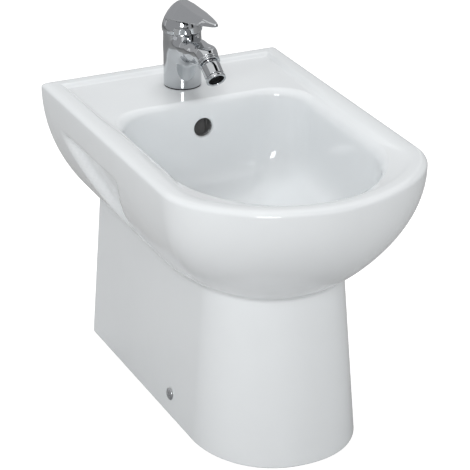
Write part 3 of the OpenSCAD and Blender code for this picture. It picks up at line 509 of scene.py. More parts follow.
class RepeatTree:
    """Geometry Nodes trees that set ribs round an axis, or cells on a disc."""

    @staticmethod
    def _started(name: str, inputs: dict[str, str]) -> tuple[Graph, bpy.types.NodeOutputs]:
        """Makes a tree that takes a shape and gives a shape.

        Args:
            name: The tree's name.
            inputs: Its other inputs, each with its kind.

        Returns:
            The tree's graph and what the tree is given.
        """
        graph = Graph(bpy.data.node_groups.new(name, "GeometryNodeTree"))
        sockets = [("Geometry", "INPUT", "Geometry"), ("Geometry", "OUTPUT", "Geometry")]
        sockets += [(key, "INPUT", kind) for key, kind in inputs.items()]
        for key, side, kind in sockets:
            graph.tree.interface.new_socket(name=key, in_out=side, socket_type=f"NodeSocket{kind}")
        return graph, graph.tree.nodes.new("NodeGroupInput").outputs

    @staticmethod
    def _ended(graph: Graph, given: bpy.types.NodeOutputs,
               spread: bpy.types.NodeSocket) -> bpy.types.NodeTree:
        """Joins the repeated forms to the given shape, makes them real and gives them the finish.

        Args:
            graph: The tree's graph.
            given: What the tree is given.
            spread: The repeated forms.

        Returns:
            The finished tree.
        """
        both = graph.add("GeometryNodeJoinGeometry", {"Geometry": given["Geometry"]})
        graph.feed(both.node, {"Geometry": spread})
        real = graph.add("GeometryNodeRealizeInstances", {"Geometry": both})
        dressed = graph.add("GeometryNodeSetMaterial",
                            {"Geometry": real, "Material": given["Finish"]})
        graph.feed(graph.tree.nodes.new("NodeGroupOutput"), {"Geometry": dressed})
        return graph.tree

    @classmethod
    def ribs(cls) -> bpy.types.NodeTree:
        """Makes, or finds, the tree of upright ribs round a turned piece.

        Returns:
            The tree; its inputs are Count, Radius, Height, Width, Depth, Middle and Finish.
        """
        known = bpy.data.node_groups.get("grip_ribs")
        if known:
            return known
        lengths = dict.fromkeys(("Radius", "Height", "Width", "Depth", "Middle"), "Float")
        graph, given = cls._started("grip_ribs", {"Count": "Int", **lengths, "Finish": "Material"})
        circle = graph.add("GeometryNodeMeshCircle",
                           {"Vertices": given["Count"], "Radius": given["Radius"]})
        rise = graph.add("ShaderNodeCombineXYZ", {"Z": given["Middle"]})
        lifted = graph.add("GeometryNodeTransform", {"Geometry": circle, "Translation": rise})
        rib = graph.add("GeometryNodeMeshCylinder", {"Vertices": 10, "Radius": 1.0, "Depth": 1.0})
        size = graph.add("ShaderNodeCombineXYZ",
                         {"X": given["Depth"], "Y": given["Width"], "Z": given["Height"]})
        scaled = graph.add("GeometryNodeTransform", {"Geometry": rib, "Scale": size})
        outwards = graph.add("ShaderNodeVectorMath", {
            0: graph.add("GeometryNodeInputPosition"), 1: (1, 1, 0)}, operation="MULTIPLY")
        turn = graph.add("FunctionNodeAlignRotationToVector", {"Vector": outwards}, axis="X",
                         pivot_axis="Z")
        return cls._ended(graph, given, graph.add("GeometryNodeInstanceOnPoints", {
            "Points": lifted, "Instance": scaled, "Rotation": turn}))

    @classmethod
    def cells(cls, rows: int = 15) -> bpy.types.NodeTree:
        """Makes the tree of small rings that fill a disc.

        Args:
            rows: Rings across the square that the disc is taken from.

        Returns:
            The tree; its inputs are Pitch, Radius, Wall, Depth and Finish.
        """
        lengths = dict.fromkeys(("Pitch", "Radius", "Wall", "Depth"), "Float")
        graph, given = cls._started("screen_cells", {**lengths, "Finish": "Material"})
        pitch = given["Pitch"]
        span, half = (graph.add("ShaderNodeMath", {0: pitch, 1: share}, operation="MULTIPLY")
                      for share in (rows - 1.0, 0.5))
        grid = graph.add("GeometryNodeMeshGrid",
                         {"Vertices X": rows, "Vertices Y": rows, "Size X": span, "Size Y": span})
        reach = graph.add("ShaderNodeVectorMath", {0: graph.add("GeometryNodeInputPosition")},
                          "Value", operation="LENGTH")
        outside = graph.add("FunctionNodeCompare", {"A": reach, "B": given["Radius"]},
                            operation="GREATER_THAN")
        kept = graph.add("GeometryNodeDeleteGeometry", {"Geometry": grid, "Selection": outside})
        ring = graph.add("GeometryNodeCurvePrimitiveCircle", {"Resolution": 10, "Radius": half})
        wall = graph.add("GeometryNodeCurvePrimitiveQuadrilateral",
                         {"Width": given["Wall"], "Height": given["Depth"]})
        solid = graph.add("GeometryNodeCurveToMesh", {"Curve": ring, "Profile Curve": wall})
        return cls._ended(graph, given, graph.add("GeometryNodeInstanceOnPoints", {
            "Points": kept, "Instance": solid}))

    @staticmethod
    def applied(piece: Piece, tree: bpy.types.NodeTree, finish: Finish,
                sizes_mm: dict[str, float], **counts: int) -> None:
        """Runs a tree on a piece and keeps the result as its plain mesh.

        Args:
            piece: The piece that the tree adds to, in its own axes.
            tree: The tree.
            finish: The finish of the whole piece.
            sizes_mm: The tree's lengths by name.
            counts: The tree's counts by name.
        """
        values = {name: size * MM for name, size in sizes_mm.items()}
        values |= {**counts, "Finish": finish.material()}
        modifier = piece.modifiers.new(tree.name, "NODES")
        modifier.node_group = tree
        for item in tree.interface.items_tree:
            if item.in_out == "INPUT" and item.name in values:
                modifier[item.identifier] = values[item.name]
        bake_modifiers(piece)


# ---------------------------------------------------------------- the ceramic


@dataclass(frozen=True)
class Outline:
    """One level outline of the ceramic, round at the front and square at the wall."""

    half_width: float
    rear_y: float
    side_end_y: float
    front_y: float
    side_pull: float
    front_pull: float
    corner_r: float

    FRONT = 44
    SIDE = 60
    CORNER = 6
    REAR = 32

    def points(self) -> Array:
        """The outline's points, from the middle of the front round by +X.

        Returns:
            An array of (x, y).
        """
        w, front, side = self.half_width, self.front_y, self.side_end_y
        t = np.arange(self.FRONT)[:, None] / self.FRONT
        ctrl = np.array([[0, front], [self.front_pull * w, front],
                         [w, side - self.side_pull * (side - front)], [w, side]])
        nose = ((1 - t) ** 3 * ctrl[0] + 3 * t * (1 - t) ** 2 * ctrl[1]
                + 3 * t * t * (1 - t) * ctrl[2] + t ** 3 * ctrl[3])
        s = np.arange(self.SIDE) / self.SIDE
        flank = np.stack([np.full(self.SIDE, w),
                          side + (self.rear_y - self.corner_r - side) * s], 1)
        a = QUARTER * np.arange(self.CORNER) / self.CORNER
        centre = np.array([w - self.corner_r, self.rear_y - self.corner_r])
        bend = centre + self.corner_r * np.stack([np.cos(a), np.sin(a)], 1)
        r = 1 - np.arange(self.REAR + 1) / self.REAR
        back = np.stack([(w - self.corner_r) * r, np.full(self.REAR + 1, self.rear_y)], 1)
        half = np.concatenate([nose, flank, bend, back])
        return np.concatenate([half, half[-2:0:-1] * (-1, 1)])


def softened(rings: Rings, steps: int = 5) -> list[Array]:
    """Rounds the bends between rings.

    Args:
        rings: Each ring with the size of its rounding, 0 where it stays.
        steps: Segments of each rounding.

    Returns:
        The rings of the softened surface.
    """
    out = []
    for k, (here, size) in enumerate(rings):
        if size <= 0:
            out.append(here)
            continue
        reach = []
        for other in (rings[k - 1][0], rings[k + 1][0]):
            gap = other - here
            length = np.linalg.norm(gap, axis=1, keepdims=True) + 1e-9
            reach.append(here + gap / length * np.minimum(size, SIDE_SHARE * length))
        out += [bend(reach[0], here, reach[1], i / steps) for i in range(steps + 1)]
    return out


@dataclass
class SkinNormals:
    """The normals of a smooth skin, kept for what is left of it after cuts."""

    tree: BVHTree
    corners: Array
    points: Array
    normals: Array

    SEARCH = 0.001  # metres to look for the skin
    ON_SKIN = 4e-4  # metres within which a point lies on it
    AGREE = 0.75  # least cosine between a face's normal and the skin's

    @classmethod
    def of(cls, piece: Piece) -> SkinNormals:
        """Takes the normals of a closed skin before it is cut.

        Args:
            piece: The uncut skin.

        Returns:
            Its normals, with a tree that finds the nearest face.
        """
        mesh = piece.data
        mesh.calc_loop_triangles()
        read = []
        for items, name, kind in ((mesh.loop_triangles, "vertices", np.int32),
                                  (mesh.vertices, "co", np.float32),
                                  (mesh.vertex_normals, "vector", np.float32)):
            values = np.empty(len(items) * 3, kind)
            items.foreach_get(name, values)
            read.append(values.reshape(-1, 3))
        return cls(BVHTree.FromPolygons(read[1].tolist(), read[0].tolist()), *read)

    def at(self, place: Vector) -> Vector | None:
        """Finds the skin's normal at a point.

        Args:
            place: The point, in metres.

        Returns:
            The normal, or None off the skin.
        """
        spot, _, face, gap = self.tree.find_nearest(place, self.SEARCH)
        if spot is None or gap > self.ON_SKIN:
            return None
        a, b, c = (Vector(self.points[i]) for i in self.corners[face])
        shares = poly_3d_calc((a, b, c), spot)
        return sum((Vector(self.normals[i]) * w for i, w in zip(self.corners[face], shares)),
                   Vector()).normalized()

    def keep(self, piece: Piece) -> None:
        """Sets a cut piece's normals to the skin's where the skin is left.

        Args:
            piece: The piece after its cuts.
        """
        mesh = piece.data
        known: dict[int, Vector | None] = {}
        out = [tuple(item.vector) for item in mesh.corner_normals]
        for polygon in mesh.polygons:
            if polygon.material_index != 0:
                continue
            for loop in polygon.loop_indices:
                vertex = mesh.loops[loop].vertex_index
                if vertex not in known:
                    known[vertex] = self.at(mesh.vertices[vertex].co)
                normal = known[vertex]
                if normal is not None and normal.dot(polygon.normal) > self.AGREE:
                    out[loop] = tuple(normal)
        mesh.normals_split_custom_set(out)


class Skin(IntEnum):
    """The number of each finish on the ceramic, as in its material slots."""

    GLAZED = 0
    BARE = 1
    # SHADED is the painted shade inside the overflow duct, not a dark material.
    SHADED = 2


@dataclass
class GlazedBody:
    """The fired piece: pedestal, bowl, rim, deck and overflow, in one glaze."""

    rim_half: float = 180.0
    wall_y: float = 280.0
    front_y: float = -280.0
    rim_h: float = 400.0
    rim_round: float = 7.0
    rim_nose: float = 138.5
    rim_side_pull: float = 0.575
    rim_front_pull: float = 0.415
    rim_roll: float = 12.0
    rim_fall: float = 24.0
    rear_corner: float = 4.0
    border_w: float = 22.0
    border_ease: float = 5.0
    step_w: float = 6.0
    deck_z: float = 395.0
    deck_t: float = 12.0
    deck_run: float = 90.0
    foot_half: float = 113.0
    foot_front_y: float = -198.7
    foot_nose: float = 122.3
    foot_side_pull: float = 0.42
    foot_front_pull: float = 0.72
    side_taper: float = 0.0657
    front_lean: float = 0.11
    neck_side_h: float = 212.0
    neck_front_h: float = 233.5
    neck_level: float = 235.0
    neck_turn: tuple[float, float] = (20.0, -130.0)
    wall_t: float = 11.0
    scoop_depth: float = 21.0
    scoop_low_z: float = 240.0
    scoop_low_y: float = 92.0
    scoop_lean: float = 0.52
    flange_low_z: float = 281.0
    flange_low_y: float = 152.0
    flange_lean: float = 0.98
    scoop_ramp: float = 0.35
    scoop_min_x: float = 60.0
    scoop_top: tuple[float, float] = (334.0, 352.0)
    scoop_foot: tuple[float, float] = (2.0, 46.0)
    scoop_front: tuple[float, float] = (-22.0, 2.0)
    scoop_rear: tuple[float, float] = (-24.0, 4.0)
    hull_arc: float = 336.0
    hull_fill: float = 0.044
    hull_turn: tuple[float, float] = (20.0, -180.0)
    basin_half_w: float = 135.0
    basin_rear_y: float = 131.0
    basin_front_y: float = -238.0
    basin_side_y: float = -98.0
    basin_corner: float = 52.0
    basin_side_pull: float = 0.45
    basin_front_pull: float = 0.52
    floor_z: float = 245.0
    wall_top_z: float = 384.0
    basin_edge_w: float = 9.0
    basin_edge_fall: float = 11.0
    basin_power: float = 5.0
    basin_fall: float = 35.0
    waste_y: float = 30.0
    seat_share: float = 0.26
    overflow_r: float = 13.5
    overflow_z: float = 355.0
    overflow_lip: float = 2.6
    overflow_gap: float = 20.5
    overflow_end_y: float = 146.5
    duct_half: float = 12.0
    duct_wall: float = 8.0
    boss_z: float = 203.0
    boss_r: float = 36.0
    waste_r: float = 23.0
    seat_r: float = 33.5
    tap_y: float = 201.5
    tap_hole_r: float = 17.5
    side_hole_h: float = 32.5
    side_hole_r: float = 6.5

    FINISHES = (GLAZE, BISQUE, DUCT_PAINTED_SHADE)
    TOOL_TURN = 0.0137  # radians for each millimetre of a drum, so that no corners meet

    @property
    def bulge_z(self) -> float:
        """Height at which the hull is widest."""
        return self.rim_h - self.rim_round

    def rim(self, inset: float) -> Outline:
        """The rim's outline, moved inwards."""
        return Outline(self.rim_half - inset, self.wall_y - inset, self.front_y + self.rim_nose,
                       self.front_y + inset, self.rim_side_pull, self.rim_front_pull,
                       self.rear_corner)

    def foot(self, z: float, inset: float) -> Outline:
        """The pedestal's outline at a height, moved inwards."""
        front = self.foot_front_y
        return Outline(self.foot_half - self.side_taper * z - inset, self.wall_y - inset,
                       front + self.foot_nose, front + self.front_lean * z + inset,
                       self.foot_side_pull, self.foot_front_pull, self.rear_corner)

    def basin(self, grow: float, share: float) -> Outline:
        """The basin's outline, grown outwards and drawn in to a share of its size."""
        y = self.waste_y
        return Outline((self.basin_half_w + grow) * share,
                       y + (self.basin_rear_y + grow - y) * share,
                       y + (self.basin_side_y - y) * share,
                       y + (self.basin_front_y - grow - y) * share,
                       self.basin_side_pull, self.basin_front_pull, self.basin_corner * share)

    @staticmethod
    def level(outline: Outline, z: float) -> Array:
        """An outline's points at one height."""
        flat = outline.points()
        return np.column_stack([flat, np.full(len(flat), z)])

    def neck_z(self, y: Array) -> Array:
        """Height of the crease under the bowl, by distance along the side."""
        rise = self.neck_front_h - self.neck_side_h
        return self.neck_side_h + rise * smooth_step(*self.neck_turn, y)

    def scoop(self, y: Array, z: Array) -> Array:
        """Works out the hollow in each flank, from the bowl back to the flange at the wall.

        Args:
            y: Places along the side.
            z: Heights.

        Returns:
            The hollow's depth at each place.
        """
        bowl_y = self.scoop_low_y - self.scoop_lean * (z - self.scoop_low_z)
        flange_y = self.flange_low_y + self.flange_lean * (z - self.flange_low_z)
        depth = self.scoop_depth * (1 - smooth_step(*self.scoop_top, z))
        depth = depth * smooth_step(*self.scoop_foot, z - self.neck_side_h)
        ramp = 1 - self.scoop_ramp * np.clip((y - bowl_y) / (flange_y - bowl_y), 0, 1)
        behind_bowl = smooth_step(*self.scoop_front, y - bowl_y)
        return depth * ramp * behind_bowl * (1 - smooth_step(*self.scoop_rear, y - flange_y))

    def hull_ring(self, share: float | Array, inset: float) -> Array:
        """A ring of the bowl's outside.

        Args:
            share: Share of the height from the crease to the rim, for all points or for each.
            inset: How far the ring is moved inwards.

        Returns:
            The ring's points.
        """
        neck = self.foot(self.neck_level, inset).points()
        rim = self.rim(inset).points()
        y0 = neck[:, 1]
        low = self.neck_z(y0)
        e = (self.bulge_z - low) / self.hull_arc
        base = np.sqrt(1 - e * e)
        side = (np.sqrt(1 - (e * (1 - share)) ** 2) - base) / (1 - base)
        s = np.power(np.clip(side, 0, 1), 1 - self.hull_fill * smooth_step(*self.hull_turn, y0))
        z = low + (self.bulge_z - low) * share
        x = neck[:, 0] + (rim[:, 0] - neck[:, 0]) * s
        y = y0 + (rim[:, 1] - y0) * s
        cut = np.where(np.abs(x) > self.scoop_min_x, np.minimum(self.scoop(y, z), np.abs(x)), 0.0)
        return np.column_stack([x - np.sign(x) * cut, y, z])

    def foot_ring(self, share: float, inset: float, drop: float) -> Array:
        """Makes a ring of the pedestal.

        Args:
            share: Share of the pedestal's height.
            inset: How far the ring is moved inwards.
            drop: How far the pedestal's top is lowered.

        Returns:
            The ring's points.
        """
        low = self.foot(0, inset).points()
        top = self.foot(self.neck_level, inset).points()
        flat = low + (top - low) * share
        return np.column_stack([flat, (self.neck_z(top[:, 1]) - drop) * share])

    def deck_ring(self, outline: Outline, front_z: float, deck_z: float) -> Array:
        """Makes a ring at one height in front that changes to another behind the basin.

        Args:
            outline: The ring's outline.
            front_z: Its height in front.
            deck_z: Its height on the deck.

        Returns:
            The ring's points.
        """
        flat = outline.points()
        edge = self.basin_rear_y + self.basin_edge_w
        in_front = smooth_step(edge, edge - self.deck_run, flat[:, 1])
        return np.column_stack([flat, deck_z + (front_z - deck_z) * in_front])

    @staticmethod
    def rounding(fall: float, share: float) -> float:
        """How far a quarter round has fallen at a share of its width."""
        return fall * (1 - math.sqrt(max(0.0, 1 - share * share)))

    def roll_rings(self) -> Rings:
        """The rings from the rim's crown over the deck and down into the basin.

        Returns:
            The rings, each with its rounding.
        """
        start = self.border_w - self.border_ease
        crown = self.rim_half - start
        reach, edge = crown - self.basin_half_w, self.basin_edge_w
        rings = [(self.level(self.rim(start), self.rim_h), 2.0)]
        for inset, deck_z, size in ((self.border_w, self.rim_h, 3.0),
                                    (self.border_w + self.step_w, self.deck_z + 0.2, 3.0)):
            front_z = self.rim_h - self.rounding(self.rim_fall, (inset - start) / reach)
            rings.append((self.deck_ring(self.rim(inset), front_z, deck_z), size))
        for grow in (edge, 7.6, 6.0, 4.4, 3.0, 1.8, 0.9, 0.3, 0.0):
            front_z = self.rim_h - self.rounding(self.rim_fall, (reach - grow) / reach)
            deck_z = self.deck_z - self.rounding(self.basin_edge_fall, 1 - grow / edge)
            size = 1.0 if grow == edge else 0.0
            rings.append((self.deck_ring(self.basin(grow, 1), front_z, deck_z), size))
        return rings

    def basin_ring(self, angle: float, grow: float = 0.0) -> Array:
        """Makes a ring of the basin, or of its underside.

        Args:
            angle: The ring's angle on the basin's rounded section, in degrees.
            grow: How far it lies outside the basin.

        Returns:
            The ring's points.
        """
        a = math.radians(angle)
        share = math.cos(a) ** (2 / self.basin_power)
        wall = self.wall_top_z - self.floor_z - self.basin_fall + grow
        z = self.wall_top_z - wall * math.sin(a) ** (2 / self.basin_power)
        z -= self.basin_fall * min(1.0, (1 - share) / (1 - self.seat_share))
        return self.level(self.basin(grow, share), z)

    def under_rings(self) -> Rings:
        """The hidden rings: the basin's underside and the pedestal's hollow.

        Returns:
            The rings, each with its rounding.
        """
        rings = [(self.basin_ring(a, self.wall_t), 0.0) for a in (86, 83, 80, 76, 73, 70, 66)]
        roof = rings[-1][0][0, 2]
        low = self.neck_z(self.foot(self.neck_level, self.wall_t + 3).points()[:, 1])
        top = self.hull_ring((roof - low) / (self.bulge_z - low), self.wall_t + 3)
        return rings + [(top, 6.0), (self.foot_ring(1, self.wall_t, 6), 4.0),
                        (self.foot_ring(0, self.wall_t, 0), 1.0)]

    def shell_rings(self) -> Rings:
        """The rings of the outside, from the floor up to the basin's edge.

        Returns:
            The rings, each with its rounding.
        """
        rings = [(self.foot_ring(0, 0, 0), 2.5)]
        rings += [(self.foot_ring(share, 0, 0), 0.0)
                  for share in (0.04, 0.15, 0.3, 0.45, 0.6, 0.75, 0.88, 0.95)]
        rings += [(self.hull_ring(0, 0), 8.0)]
        rings += [(self.hull_ring(h, 0), 0.0) for h in np.linspace(0.05, 1, 39)]
        for a in np.radians((12, 24, 36, 48, 60, 72, 90)):
            inset = self.rim_roll * (1 - math.cos(a))
            z = self.bulge_z + self.rim_round * math.sin(a)
            rings.append((self.level(self.rim(inset), z), 0.0))
        return rings + self.roll_rings()

    def bowl_rings(self) -> Rings:
        """The rings of the basin, from its wall to the seat of the drain.

        Returns:
            The rings, each with its rounding.
        """
        power, top, turn, apart = self.basin_power, 0.14, 0.86, 0.02
        angles = list(np.degrees(np.arcsin(np.linspace(top, turn, 32) ** (power / 2))))
        wide, narrow = (1 - turn ** power) ** (1 / power) - apart, self.seat_share + apart
        shares = np.linspace(wide, narrow, 30)
        angles += list(np.degrees(np.arccos(shares ** (power / 2))))
        rings = [(self.basin_ring(a), 0.0) for a in angles]
        return rings + [(self.level(self.basin(0, self.seat_share), self.floor_z), 0.0)]

    def skin(self) -> tuple[Array, Faces, list[int]]:
        """The closed skin through all rings, with the overflow's lip set into the basin's wall.

        Returns:
            The vertices, the faces and each face's material number.
        """
        under = self.under_rings()
        hidden = sum(6 if size > 0 else 1 for _, size in under)
        rings = np.stack(softened(under + self.shell_rings() + self.bowl_rings()))
        count, n = rings.shape[:2]
        ids = np.arange(count * n).reshape(count, n)
        points = rings.reshape(-1, 3)
        j, i = np.meshgrid(np.arange(count - 1), np.arange(n), indexing="ij")
        nxt = (i + 1) % n
        quads = np.stack([ids[j, i], ids[j, nxt], ids[j + 1, nxt], ids[j + 1, i]], -1)
        middle, half = n // 2, 8
        _, y, z = rings[:, middle].T
        wall = (np.arange(count) > count // 2) & (y < self.basin_rear_y + 1)
        rows = np.where(wall & (np.abs(z - self.overflow_z) < self.overflow_gap))[0]
        first, last = rows[0], rows[-1]
        keep = ~((j >= first) & (j < last) & (i >= middle - half) & (i < middle + half))
        faces: Faces = [tuple(q) for q in quads[keep].tolist()]
        slots = [Skin.BARE if row < hidden else Skin.GLAZED for row in j[keep].ravel()]
        loop = [ids[first, c] for c in range(middle - half, middle + half)]
        loop += [ids[r, middle + half] for r in range(first, last)]
        loop += [ids[last, c] for c in range(middle + half, middle - half, -1)]
        loop += [ids[r, middle - half] for r in range(last, first, -1)]
        extra, lip_faces = self.overflow_lip_rings(points, loop)
        faces += lip_faces
        slots += [Skin.GLAZED] * len(lip_faces)
        points = np.concatenate([points, extra])
        tip = len(points)
        faces += [(tip, int(b), int(a)) for a, b in zip(ids[0], np.roll(ids[0], -1))]
        faces.append(tuple(ids[-1].tolist()))
        slots += [Skin.BARE] * n + [Skin.GLAZED]
        return np.concatenate([points, [points[ids[0]].mean(0)]]), faces, slots

    def overflow_lip_rings(self, points: Array, loop: Sequence[int]) -> tuple[Array, Faces]:
        """Rings from a square gap in the basin's wall to the round overflow hole and into it.

        Args:
            points: The skin's vertices.
            loop: Vertex numbers round the gap.

        Returns:
            The new vertices and the faces that close the gap, numbered on from the skin's.
        """
        edge = points[list(loop)]
        angle = np.arctan2(edge[:, 2] - self.overflow_z, edge[:, 0])
        far = np.hypot(edge[:, 0], edge[:, 2] - self.overflow_z)
        wall_y = edge[:, 1].mean()
        lip = self.overflow_r + self.overflow_lip
        roll = self.overflow_lip
        stations = [(lip + 0.5 * (far - lip), wall_y)]
        stations += [(lip - roll * math.sin(a), wall_y + roll * (1 - math.cos(a)))
                     for a in np.radians((0, 18, 36, 54, 72, 90))]
        stations.append((self.overflow_r, self.overflow_end_y))
        start, count = len(points), len(loop)
        across, up = np.cos(angle), np.sin(angle)
        rings = [np.column_stack([r * across, np.full(count, y), self.overflow_z + r * up])
                 for r, y in stations]
        faces: Faces = []
        before = [int(v) for v in loop]
        for k in range(len(rings)):
            here = [start + k * count + i for i in range(count)]
            for i in range(count):
                m = (i + 1) % count
                faces.append((before[m], before[i], here[i], here[m]))
            before = here
        tip = start + len(rings) * count
        faces += [(before[(i + 1) % count], before[i], tip) for i in range(count)]
        end = np.array([[0, self.overflow_end_y, self.overflow_z]])
        return np.concatenate(rings + [end]), faces

    def block(self, low: Corner, high: Corner) -> Piece:
        """A shaping block between two corners."""
        return make_mesh("cut", *cuboid(low, high), self.FINISHES)

    def drum(self, radius: float, length: float, place: Matrix) -> Piece:
        """Makes a round shaping tool.

        Args:
            radius: Its radius.
            length: Its length along its own Z axis.
            place: Where it starts.

        Returns:
            The tool.
        """
        points, faces = lathe([(0, 0), (radius, 0), (radius, length), (0, length)], 96)
        turn = spin(self.TOOL_TURN * radius, "Z")
        return make_mesh("cut", moved(points, place @ turn), faces, self.FINISHES)

    def rear_cut(self) -> Piece:
        """Makes the tool for the opening to the wall, wider under the deck.

        Returns:
            The tool.
        """
        low = self.foot_half - self.side_taper * self.neck_level - self.wall_t
        side = [(low, -1), (low, self.neck_side_h), (low + 16, self.neck_side_h + 40),
                (low + 38, 300), (low + 54, 340), (low + 60, self.deck_z - self.deck_t)]
        loop = side + [(-x, z) for x, z in reversed(side)]
        n = len(loop)
        front, back = self.basin_rear_y + self.wall_t + 9, self.wall_y + 1
        points = np.array([[x, y, z] for y in (front, back) for x, z in loop])
        faces: Faces = [tuple(range(n)), tuple(range(2 * n - 1, n - 1, -1))]
        faces += [(i, n + i, n + (i + 1) % n, (i + 1) % n) for i in range(n)]
        return make_mesh("cut", points, faces, self.FINISHES)

    def tools(self) -> list[Tool]:
        """The solids that shape the hidden side.

        Returns:
            Each tool with the boolean that it does and the number of its finish.
        """
        add, cut, bare, shaded = Action.ADD, Action.CUT, Skin.BARE, Skin.SHADED
        rear, duct_t = self.basin_rear_y + self.wall_t + 1, self.duct_wall
        half, out, waste_y = self.duct_half, self.duct_half + duct_t, self.waste_y
        low, boss, top = self.floor_z - 33, self.boss_z, self.overflow_z
        across = shift(-self.foot_half - 2, 0, self.side_hole_h) @ spin(QUARTER, "Y")
        overflow = shift(0, self.basin_rear_y + 4, top) @ spin(-QUARTER, "X")
        at_tap = shift(0, self.tap_y, self.deck_z - self.deck_t - 8)
        under = self.floor_z - 6
        return [
            (self.rear_cut(), cut, bare),
            (self.block((-out, rear - 4, boss), (out, rear + 12 + duct_t, top + 20)), add, bare),
            (self.block((-out, waste_y, boss), (out, rear + 11 + duct_t, under)), add, bare),
            (self.drum(self.boss_r, self.floor_z - 4 - boss, shift(0, waste_y, boss)), add, bare),
            (self.block((-half, rear, low), (half, rear + 12, top + 14)), cut, shaded),
            (self.block((-half, waste_y, low), (half, rear + 11, low + 18)), cut, shaded),
            (self.drum(self.overflow_r, 15, overflow), cut, shaded),
            (self.drum(self.waste_r, 60, shift(0, waste_y, boss - 1)), cut, bare),
            (self.drum(self.seat_r, 6, shift(0, waste_y, self.floor_z - 0.03)), cut, Skin.GLAZED),
            (self.drum(self.tap_hole_r, 30, at_tap), cut, bare),
            (self.drum(self.side_hole_r, 2 * self.foot_half + 4, across), cut, bare),
        ]

    def build(self) -> None:
        """Makes the glazed body, with the normals of its uncut skin."""
        points, faces, slots = self.skin()
        piece = make_mesh("glazed_body", points, faces, self.FINISHES)
        piece.data.polygons.foreach_set("material_index", slots)
        turn_outwards(piece)
        skin = SkinNormals.of(piece)
        carve(piece, self.tools())
        smooth_shading(piece, 38)
        skin.keep(piece)
        finish_piece(piece, "root", "glaze", "ceramic_body")


# ---------------------------------------------------------------- cast forms


Field = Callable[[Array], Array]


def blend_union(a: Array, b: Array, size: float) -> Array:
    """The union of two fields with a fillet of a size."""
    h = np.clip(0.5 + 0.5 * (b - a) / size, 0, 1)
    return b * (1 - h) + a * h - size * h * (1 - h)


def blend_common(a: Array, b: Array, size: float) -> Array:
    """What two fields have in common, with a rounded edge of a size."""
    return -blend_union(-a, -b, size)


def tapered(p: Array, a: Corner, b: Corner, ra: float, rb: float) -> Array:
    """Distance to a tapered bar with round ends.

    Args:
        p: The points.
        a: The first end.
        b: The second end.
        ra: Radius at the first end.
        rb: Radius at the second end.

    Returns:
        The distances, negative inside.
    """
    start, axis = np.array(a), np.array(b) - np.array(a)
    t = np.clip((p - start) @ axis / (axis @ axis), 0, 1)
    return np.linalg.norm(p - start - t[:, None] * axis, axis=1) - (ra + (rb - ra) * t)


def drum_field(p: Array, origin: Corner, axis: Corner, radius: float, low: float,
               high: float) -> Array:
    """Distance to a cylinder along an axis between two stations.

    Args:
        p: The points.
        origin: A point of the axis.
        axis: The axis's unit direction.
        radius: The cylinder's radius.
        low: Station of its first face.
        high: Station of its last face.

    Returns:
        The distances, negative inside.
    """
    rel = p - np.array(origin)
    s = rel @ np.array(axis)
    r = np.linalg.norm(rel - s[:, None] * np.array(axis), axis=1)
    return np.maximum(r - radius, np.maximum(low - s, s - high))


def slope_of(shape: Field, p: Array, step: float = 0.04) -> Array:
    """Finds the gradient of a field by central differences.

    Args:
        shape: The field.
        p: The points.
        step: Distance of the two samples from each point.

    Returns:
        The gradient at each point.
    """
    out = np.empty_like(p)
    for k in range(3):
        aside = np.zeros(3)
        aside[k] = step
        out[:, k] = (shape(p + aside) - shape(p - aside)) / (2 * step)
    return out


